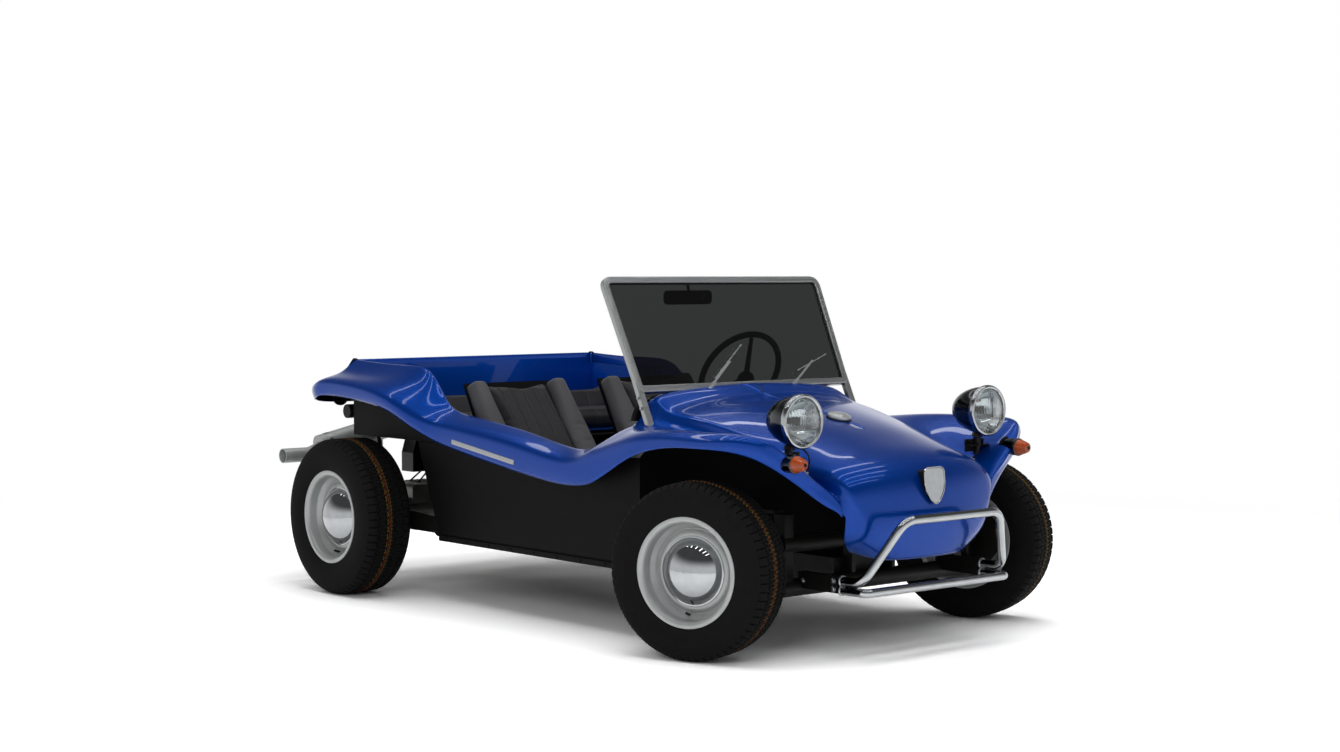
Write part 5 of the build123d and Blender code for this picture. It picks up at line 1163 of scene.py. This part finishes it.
def make_tail_lamps():
    """Round red domes on the tail, each in a bright ring."""
    made = Bundle()
    for side in (-1, 1):
        spot = axis_frame(at(side * 560, 2386, 762), (0, 1, 0))
        made.put(lathe([(-4, 0.3), (-4, 37), (3, 37), (5, 35), (8, 33), (8, 0.3)], 56, spot), 1)
        made.put(lathe([(8, 30), (12, 33), (15, 33), (16, 30)], 56, spot), 2)
        rings = [(14 + 14 * cos(a) + 0.7 * (k % 2), 30 * sin(a)) for k, a in enumerate(np.linspace(pi / 2, 0.02, 15))]
        made.put(lathe([(8, 0.3), (8, 30)] + rings, 56, spot))
    piece = made.piece("tail_lamp_domes", [RED, WELT, CHROME], slot="red_lens")
    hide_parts("tail_lamps")


def make_filler_cap():
    """Turned cap on its neck in the bonnet."""
    lean = radians(14)
    spot = axis_frame(at(0, 27, 752), (0, -sin(lean), cos(lean)))
    made = Bundle()
    made.put(lathe([(0, 0.3), (0, 46), (14, 46), (17, 44), (18, 38), (18, 0.3)], 64, spot), 1)
    made.put(lathe(rounded([(17, 0.3), (17, 42), (24, 42), (29, 39), (31, 30), (30, 27), (33, 24), (35, 0.4)], 2,
        2), 64, spot))
    piece = made.piece("filler_cap_dome", [BRUSHED, WELT], slot="chrome")
    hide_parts("filler_cap")


# Nose badge, trim strips and bumper
BADGE = ((-34, 58), (34, 58), (43, 50), (43, 8), (36, -18), (18, -44), (0, -56), (-18, -44), (-36, -18), (-43, 8),
    (-43, 50))
BADGE_PLACE = (0, -425, 560)


def make_badge():
    """Bare shield: a chrome face with a raised edge on a black backing."""
    spot = axis_frame(at(*BADGE_PLACE), (0, -1, 0.1))
    outline = rounded(BADGE, 7, 4)
    made = Bundle()
    made.put(plate(outline, -30, 6, 1.0, spot), 1)
    made.put(plate(inset_outline(outline, 3), 5, 8.5, 1.2, spot))
    made.put(trim_ring(inset_outline(outline, 5), ((-2, 8), (2, 8), (1.2, 10.5), (-1.2, 10.5)), spot))
    made.piece("nose_badge", [CHROME, WELT], slot="chrome")


def make_trim_strips():
    """Ribbed alloy strip along the outside of each cockpit rail."""
    made = Bundle()
    for side in (-1, 1):
        ends = ((side * 708.5, 978, 587), (side * 716, 1356, 641))
        made.put(bar(*ends, 17, 4, (0, 0, 1), 1))
        for lift in (-6, -2, 2, 6):
            ridge = [(x + side * 2.4, y, z + lift) for x, y, z in ends]
            made.put(bar(*ridge, 2.2, 2.4, (0, 0, 1), 0.6))
    made.piece("rail_trim_strips", BRUSHED, slot="screen_alloy")


def make_bumper():
    """Bent hoop over a lower bar, with flanges and bolts at the brackets."""
    made = Bundle()
    made.put(tube(both([(344, -335.3, 262), (344, -432, 262), (231, -515, 467)]), 15, 46, 24, 10))
    made.put(tube(both([(344, -335.3, 231), (344, -450, 231)]), 15, 24, 24, 8))
    for side in (-1, 1):
        for up in (262, 231):
            made.put(lathe([(-2, 0.3), (-2, 19), (3, 19), (5, 16), (5, 14)], 32,
                axis_frame(at(side * 344, -339, up), (0, -1, 0))), 1)
        for along, up in ((-318, 262), (-318, 235), (-176, 249)):
            made.put(bolt((side * 364, along, up), (side, 0, 0), 7), 1)
    piece = made.piece("bumper_tubes", [CHROME, STEEL], slot="chrome")
    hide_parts("front_bumper")


# Seats: side outlines as along and up
CUSHION = ((700, 345), (1160, 330), (1185, 400), (1120, 430), (760, 462), (700, 440))
BACKREST = ((1190, 345), (1250, 345), (1522, 842), (1470, 852), (1122, 432), (1188, 402))
SEAT_BASE = ((760, 261), (1330, 261), (1330, 300), (1150, 330), (760, 345))
BENCH_SEAT = ((1640, 632), (1880, 632), (1880, 700), (1640, 700))
BENCH_BACK = ((1882, 632), (1960, 632), (1990, 800), (1940, 808), (1882, 690))
SEAT_INNER, SEAT_OUTER, BOLSTER, BOLSTER_RISE = 100, 560, 74, 26
PAD_VOXEL = 6.0
PAD_PRESSURE = 4.0
PAD_FRAMES = 20
PAD_CAP = 22.0
PAD_INSET = 9.0
PAD_SHARE = 0.2


def swollen(name, outline, low, high, material, inset=PAD_INSET):
    """A pad that cloth pressure has swollen from a smaller block, its drift capped."""
    shape = inset_outline([Vector(p) for p in outline], inset)
    made = new_piece(name, *plate(rounded(shape, 16, 3), low + inset, high - inset, 10), material, slot="seat_trim")
    remesh = made.modifiers.new("voxels", "REMESH")
    remesh.mode, remesh.voxel_size = "VOXEL", PAD_VOXEL * MM
    bake_modifiers(made)
    start = np.empty(len(made.data.vertices) * 3)
    made.data.vertices.foreach_get("co", start)
    cloth = made.modifiers.new("pressure", "CLOTH")
    cloth.settings.use_pressure = True
    cloth.settings.uniform_pressure_force = PAD_PRESSURE
    cloth.settings.effector_weights.gravity = 0
    cloth.point_cache.frame_start, cloth.point_cache.frame_end = 1, PAD_FRAMES
    for step in range(1, PAD_FRAMES + 1):
        scene.frame_set(step)
    swelled = made.evaluated_get(bpy.context.evaluated_depsgraph_get()).data
    end = np.empty_like(start)
    swelled.vertices.foreach_get("co", end)
    made.modifiers.clear()
    scene.frame_set(1)
    drift = (end - start).reshape(-1, 3)
    reach = np.linalg.norm(drift, axis=1, keepdims=True)
    drift *= np.minimum(1.0, PAD_CAP * MM / np.maximum(reach, 1e-9))
    made.data.vertices.foreach_set("co", start + drift.ravel())
    smooth = made.modifiers.new("evened", "SMOOTH")
    smooth.factor, smooth.iterations = 0.5, 3
    made.modifiers.new("finer", "SUBSURF").levels = 1
    bake_modifiers(made)
    made.data.shade_smooth()
    return made


def stitched(made, places, depth=4.5, width=4.0):
    """Sinks a sewn line along each place across the piece, in millimetres."""
    count = len(made.data.vertices)
    points, normals = np.empty(count * 3), np.empty(count * 3)
    made.data.vertices.foreach_get("co", points)
    made.data.vertices.foreach_get("normal", normals)
    points, normals = points.reshape(-1, 3), normals.reshape(-1, 3)
    sink = np.zeros(count)
    for x in places:
        sink = np.maximum(sink, np.exp(-(((points[:, 0] / MM - x) / width) ** 2)))
    points -= normals * (sink * depth * MM)[:, None]
    made.data.vertices.foreach_set("co", points.ravel())
    made.data.update()
    lightened(made)


def lightened(made):
    """Thins a pad's mesh where it is flat, so that the seats keep to their share of triangles."""
    made.modifiers.new("thinned", "DECIMATE").ratio = PAD_SHARE
    bake_modifiers(made)
    made.data.shade_smooth()


def mirrored(made, name, middle=0.0):
    """A copy of a seat piece mirrored about an upright plane, middle millimetres across."""
    mesh = made.data.copy()
    mesh.transform(Matrix.Translation((2 * middle * MM, 0, 0)) @ Matrix.Scale(-1, 4, (1, 0, 0)))
    mesh.flip_normals()
    copy = bpy.data.objects.new(name, mesh)
    scene.collection.objects.link(copy)
    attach(copy, "chassis")
    return copy


def make_seats():
    """Two bucket seats: pads between bolsters on a moulded shell, the right one mirrored."""
    middle = (SEAT_INNER + SEAT_OUTER) / 2
    lines = [middle + k * 52 for k in (-2, -1, 0, 1, 2)]
    pads = []
    inner, outer = SEAT_INNER + BOLSTER, SEAT_OUTER - BOLSTER
    for name, outline in (("cushion", CUSHION), ("backrest", BACKREST)):
        centre = swollen(f"seat_{name}_left", outline, inner - 7, outer + 7, TRIM_DARK)
        stitched(centre, lines)
        raised = [(y - BOLSTER_RISE, z + BOLSTER_RISE) for y, z in outline[3:]]
        tall = list(outline[:3]) + raised
        near = swollen(f"seat_{name}_inner_bolster_left", tall, SEAT_INNER, inner + 4, TRIM_GREY)
        lightened(near)
        far = mirrored(near, f"seat_{name}_outer_bolster_left", middle)
        pads += [centre, near, far]
    shell = Bundle()
    shell.put(plate(rounded(SEAT_BASE, 8, 3), SEAT_INNER + 37, SEAT_OUTER - 37, 4))
    back = ((1246, 350), (1254, 346), (1526, 840), (1516, 848))
    shell.put(plate(back, SEAT_INNER + 14, SEAT_OUTER - 14, 2))
    frame_piece = shell.piece("seat_shell_left", BLACK_BODY, slot="seat_trim")
    copies = [mirrored(p, p.name.replace("_left", "_right")) for p in pads]
    other = mirrored(frame_piece, "seat_shell_right")
    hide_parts("seat_left")
    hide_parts("seat_right")


def make_bench():
    """Rear bench cushion and back."""
    lines = [k * 120 for k in range(-4, 5)]
    for name, outline in (("cushion", BENCH_SEAT), ("back", BENCH_BACK)):
        made = swollen(f"bench_{name}", outline, -540, 540, TRIM_DARK, 8.0)
        stitched(made, lines)
        if name == "cushion":
            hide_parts("rear_bench")


# Steering wheel and dashboard
STEERING = JOINTS["steering"]
RING_RADIUS, RING_SECTION, DISH = 176, 12, 40


def make_steering_wheel():
    """Ring, three flat spokes that dish to the hub, and a horn push."""
    spot = axis_frame(Vector(STEERING["pos_m"]), STEERING["axis"])
    ring = [spot @ Vector((0, RING_RADIUS * cos(a), RING_RADIUS * sin(a))) for a in np.linspace(0, tau, 97)[:-1]]
    made = Bundle()
    made.put(sweep(ring, RING_SECTION * MM, sides=18, closed=True))
    for turn in (90, 210, 330):
        out = Vector((0, cos(radians(turn)), sin(radians(turn))))
        start, end = out * 24 + Vector((-DISH + 4, 0, 0)), out * (RING_RADIUS - 4)
        run = (spot @ end) - (spot @ start)
        reach = run.length / MM
        face = spot.to_3x3() @ Vector((1, 0, 0))
        faces = plate([(-13, 0), (13, 0), (8, reach), (-8, reach)], -2, 2, 0.8,
            axis_frame(spot @ start, face - run * (face.dot(run) / run.length_squared), run))
        made.put(faces, 1)
    hub = [(-DISH - 15, 0.3), (-DISH - 15, 32), (-DISH - 8, 34), (-DISH + 8, 34), (-DISH + 13, 30),
        (-DISH + 15, 20), (-DISH + 20, 18), (-DISH + 22, 0.3)]
    made.put(lathe(rounded(hub, 3, 2), 56, spot))
    made.put(lathe([(-DISH + 21, 0.3), (-DISH + 21, 15), (-DISH + 24, 13), (-DISH + 25, 0.3)], 40, spot), 2)
    made.put(lathe([(-155, 0.3), (-155, 9), (-DISH - 10, 9), (-DISH - 10, 0.3)], 24, spot), 1)
    piece = made.piece("dished_steering_wheel", [PLASTIC, FAN_BLACK, CHROME], body="steering_wheel",
        slot="steering_black")
    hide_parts("steering_wheel")


def make_dash():
    """Dials, switches, a grab rail, and the edging where the bonnet ends."""
    made = Bundle()
    for x, radius in ((262, 40), (366, 40), (170, 25)):
        spot = axis_frame(at(x, 546.3, 792 if radius > 30 else 784), (0, 1, 0))
        made.put(lathe([(0, radius - 6), (0, radius + 5), (5, radius + 6), (9, radius + 3), (10, radius),
            (6, radius - 3)], 56, spot), 1)
        made.put(lathe([(0, 0.3), (0, radius - 2), (3, radius - 2), (3, 0.3)], 48, spot))
        for k in range(11):
            a = radians(220 - 26 * k)
            tip = Vector((3.4, cos(a), sin(a)))
            mark = axis_frame(spot @ Vector((3.4, tip.y * radius * 0.72, tip.z * radius * 0.72)),
                (spot.to_3x3() @ Vector((0, tip.y, tip.z))), (0, 1, 0))
            made.put(slab((0, -0.7, -0.4), (radius * 0.16, 0.7, 0.4), 0.15, mark), 2)
        hand = axis_frame(spot @ Vector((4, 0, 0)), spot.to_3x3() @ Vector((0, -0.6, 0.7)), (0, 1, 0))
        made.put(slab((-6, -1, -0.4), (radius * 0.66, 1, 0.4), 0.15, hand), 3)
        made.put(lathe([(3, 0.3), (3, 4), (6, 3), (6, 0.3)], 16, spot), 1)
    for x in (40, 80, 120):
        knob = axis_frame(at(x, 546.3, 780), (0, 1, 0))
        made.put(lathe([(0, 9), (0, 0.3), (2, 0.3), (12, 3), (14, 7), (20, 7.5), (22, 0.3)][1:], 24, knob), 1)
        made.put(lathe([(0, 0.3), (0, 11), (2.5, 10), (3, 0.3)], 28, knob), 1)
    made.put(tube([(-420, 546, 788), (-420, 572, 790), (-200, 572, 790), (-200, 546, 788)], 8, 14, 16), 1)
    made.piece("dash_fittings", [PLASTIC, CHROME, WHEEL_GREY, STRIPE_RED], slot="steering_black")
    edge = Bundle()
    arch = [(440, 521, 832), (330, 521, 844), (180, 521, 850), (0, 521, 852)]
    edge.put(tube(both(arch[:-1]), 6, 60, 12))
    edge.piece("bonnet_edging", WELT, slot="black_body")


# Engine bay and underside details
def make_engine_details():
    """Belt and pulleys, air cleaner, distributor, and the silencer's bands."""
    made = Bundle()
    low, high = (345, 84), (640, 62)
    path = [(low[1] * cos(a), low[0] + low[1] * sin(a)) for a in np.linspace(-pi, 0, 22)]
    path += [(high[1] * cos(a), high[0] + high[1] * sin(a)) for a in np.linspace(0, pi, 18)]
    made.put(trim_ring([Vector(p) for p in path], ((-4, -5), (-2, -6.5), (4, -6.5), (4, 6.5), (-2, 6.5), (-4, 5)),
        axis_frame(at(0, 2418, 0), (0, 1, 0))))
    for centre, radius in ((345, 82), (640, 60)):
        spot = axis_frame(at(0, 2418, centre), (0, 1, 0))
        rim = [(-13, 0.3), (-13, radius + 6), (-10, radius + 6), (-4, radius - 4), (4, radius - 4),
            (10, radius + 6), (13, radius + 6), (13, radius - 6), (7, radius - 12), (7, 16), (14, 14), (14, 0.3)]
        made.put(lathe(rim, 64, spot), 1)
        made.put(lathe([(13, 0.3), (13, 11), (22, 10), (22, 0.3)], 6, spot), 3)
    cleaner = axis_frame(at(-90, 2150, 520), (0, 0, 1))
    made.put(lathe(rounded([(0, 0.3), (0, 62), (10, 68), (52, 68), (64, 60), (70, 24), (74, 22), (78, 0.3)], 5, 3),
        64, cleaner), 1)
    made.put(lathe([(44, 66), (44, 71), (50, 71), (50, 66)], 64, cleaner), 2)
    made.put(tube([(-90, 2150, 522), (-90, 2150, 450), (-20, 2190, 430)], 24, 40, 20), 2)
    cap = axis_frame(at(-64, 2236, 424), (-0.1, 0.1, 1))
    made.put(lathe([(0, 0.3), (0, 20), (34, 20), (34, 30), (52, 30), (58, 24), (60, 0.3)], 32, cap), 1)
    for k in range(5):
        a = tau * k / 5
        base = cap @ Vector((56, 0, 0))
        start = base + Vector((18 * MM * cos(a), 18 * MM * sin(a), 0))
        side = -1 if cos(a) < 0 else 1
        end = at(side * 300, 2195 + 65 * (k % 2), 404)
        top = start + Vector((0, 0, 0.03))
        made.put(sweep([start, top, (top + end) / 2 + Vector((0, 0, 0.03)), end], 3.5 * MM, 20 * MM, 8, 5))
    for share in (0.1, 0.9):
        a, b = Vector((-590, 2502, 546)), Vector((-190, 2502, 633))
        spot = axis_frame(at(*(a + (b - a) * share)), b - a)
        made.put(lathe([(-8, 49), (-8, 51.5), (8, 51.5), (8, 49)], 56, spot), 2)
    made.piece("engine_fittings", [WELT, FAN_BLACK, STEEL, CAST], slot="cooling_black")


def make_side_trim():
    """Folded lower edge and screws along each black side panel."""
    made = Bundle()
    for side in (-1, 1):
        low, high = sorted((side * 632, side * 642))
        made.put(slab((low, 366, 243), (high, 1556, 266), 2.5))
        for k in range(9):
            made.put(lathe([(0, 0.3), (0, 5.5), (2, 4.5), (3, 0.3)], 16,
                axis_frame(at(side * 642, 400 + k * 138, 254), (side, 0, 0))))
    made.put(slab((-620, 1518, 607), (620, 1640, 619.5), 2))
    made.piece("side_panel_edges", BLACK_BODY, slot="black_body")


EASED = {
    "floor_pan": 2.0, "sills": 3.0, "tub": 2.0, "load_well": 3.0, "front_beam": 2.5, "rear_torsion_housing": 2.5,
    "transaxle": 3.0, "engine": 1.2, "engine_cooling": 2.5, "steering_column": 2.0, "dashboard": 2.0,
    "rear_cross_tube": 2.0,
    "driver_controls": 1.5, "trailing_arms": 1.5, "shock_absorbers": 1.5, "knuckle_left": 1.2, "knuckle_right": 1.2,
    "drop_arm": 1.0, "track_rod": 1.0, "exhaust": 1.5,
}


def ease_edges():
    """Breaks the sharp edges of the carried-over pieces."""
    for name, width in EASED.items():
        node = frame["nodes"][name]
        node.modifiers.new("joined", "WELD").merge_threshold = 0.00002
        flat = node.modifiers.new("flattened", "DECIMATE")
        flat.decimate_type, flat.angle_limit = "DISSOLVE", radians(1.0)
        edge = node.modifiers.new("eased", "BEVEL")
        edge.width, edge.segments, edge.limit_method, edge.angle_limit = width * MM, 2, "ANGLE", radians(35)
        edge.harden_normals = False


make_camera()
make_world()
make_floor()
make_lights()
dress_nodes()
ease_edges()
body_moulding()
make_wheels()
make_windscreen()
make_wipers()
make_mirror()
make_headlamps()
make_indicators()
make_tail_lamps()
make_filler_cap()
make_badge()
make_trim_strips()
make_bumper()
make_seats()
make_bench()
make_steering_wheel()
make_dash()
make_engine_details()
make_side_trim()

scene.view_settings.view_transform = "Standard"
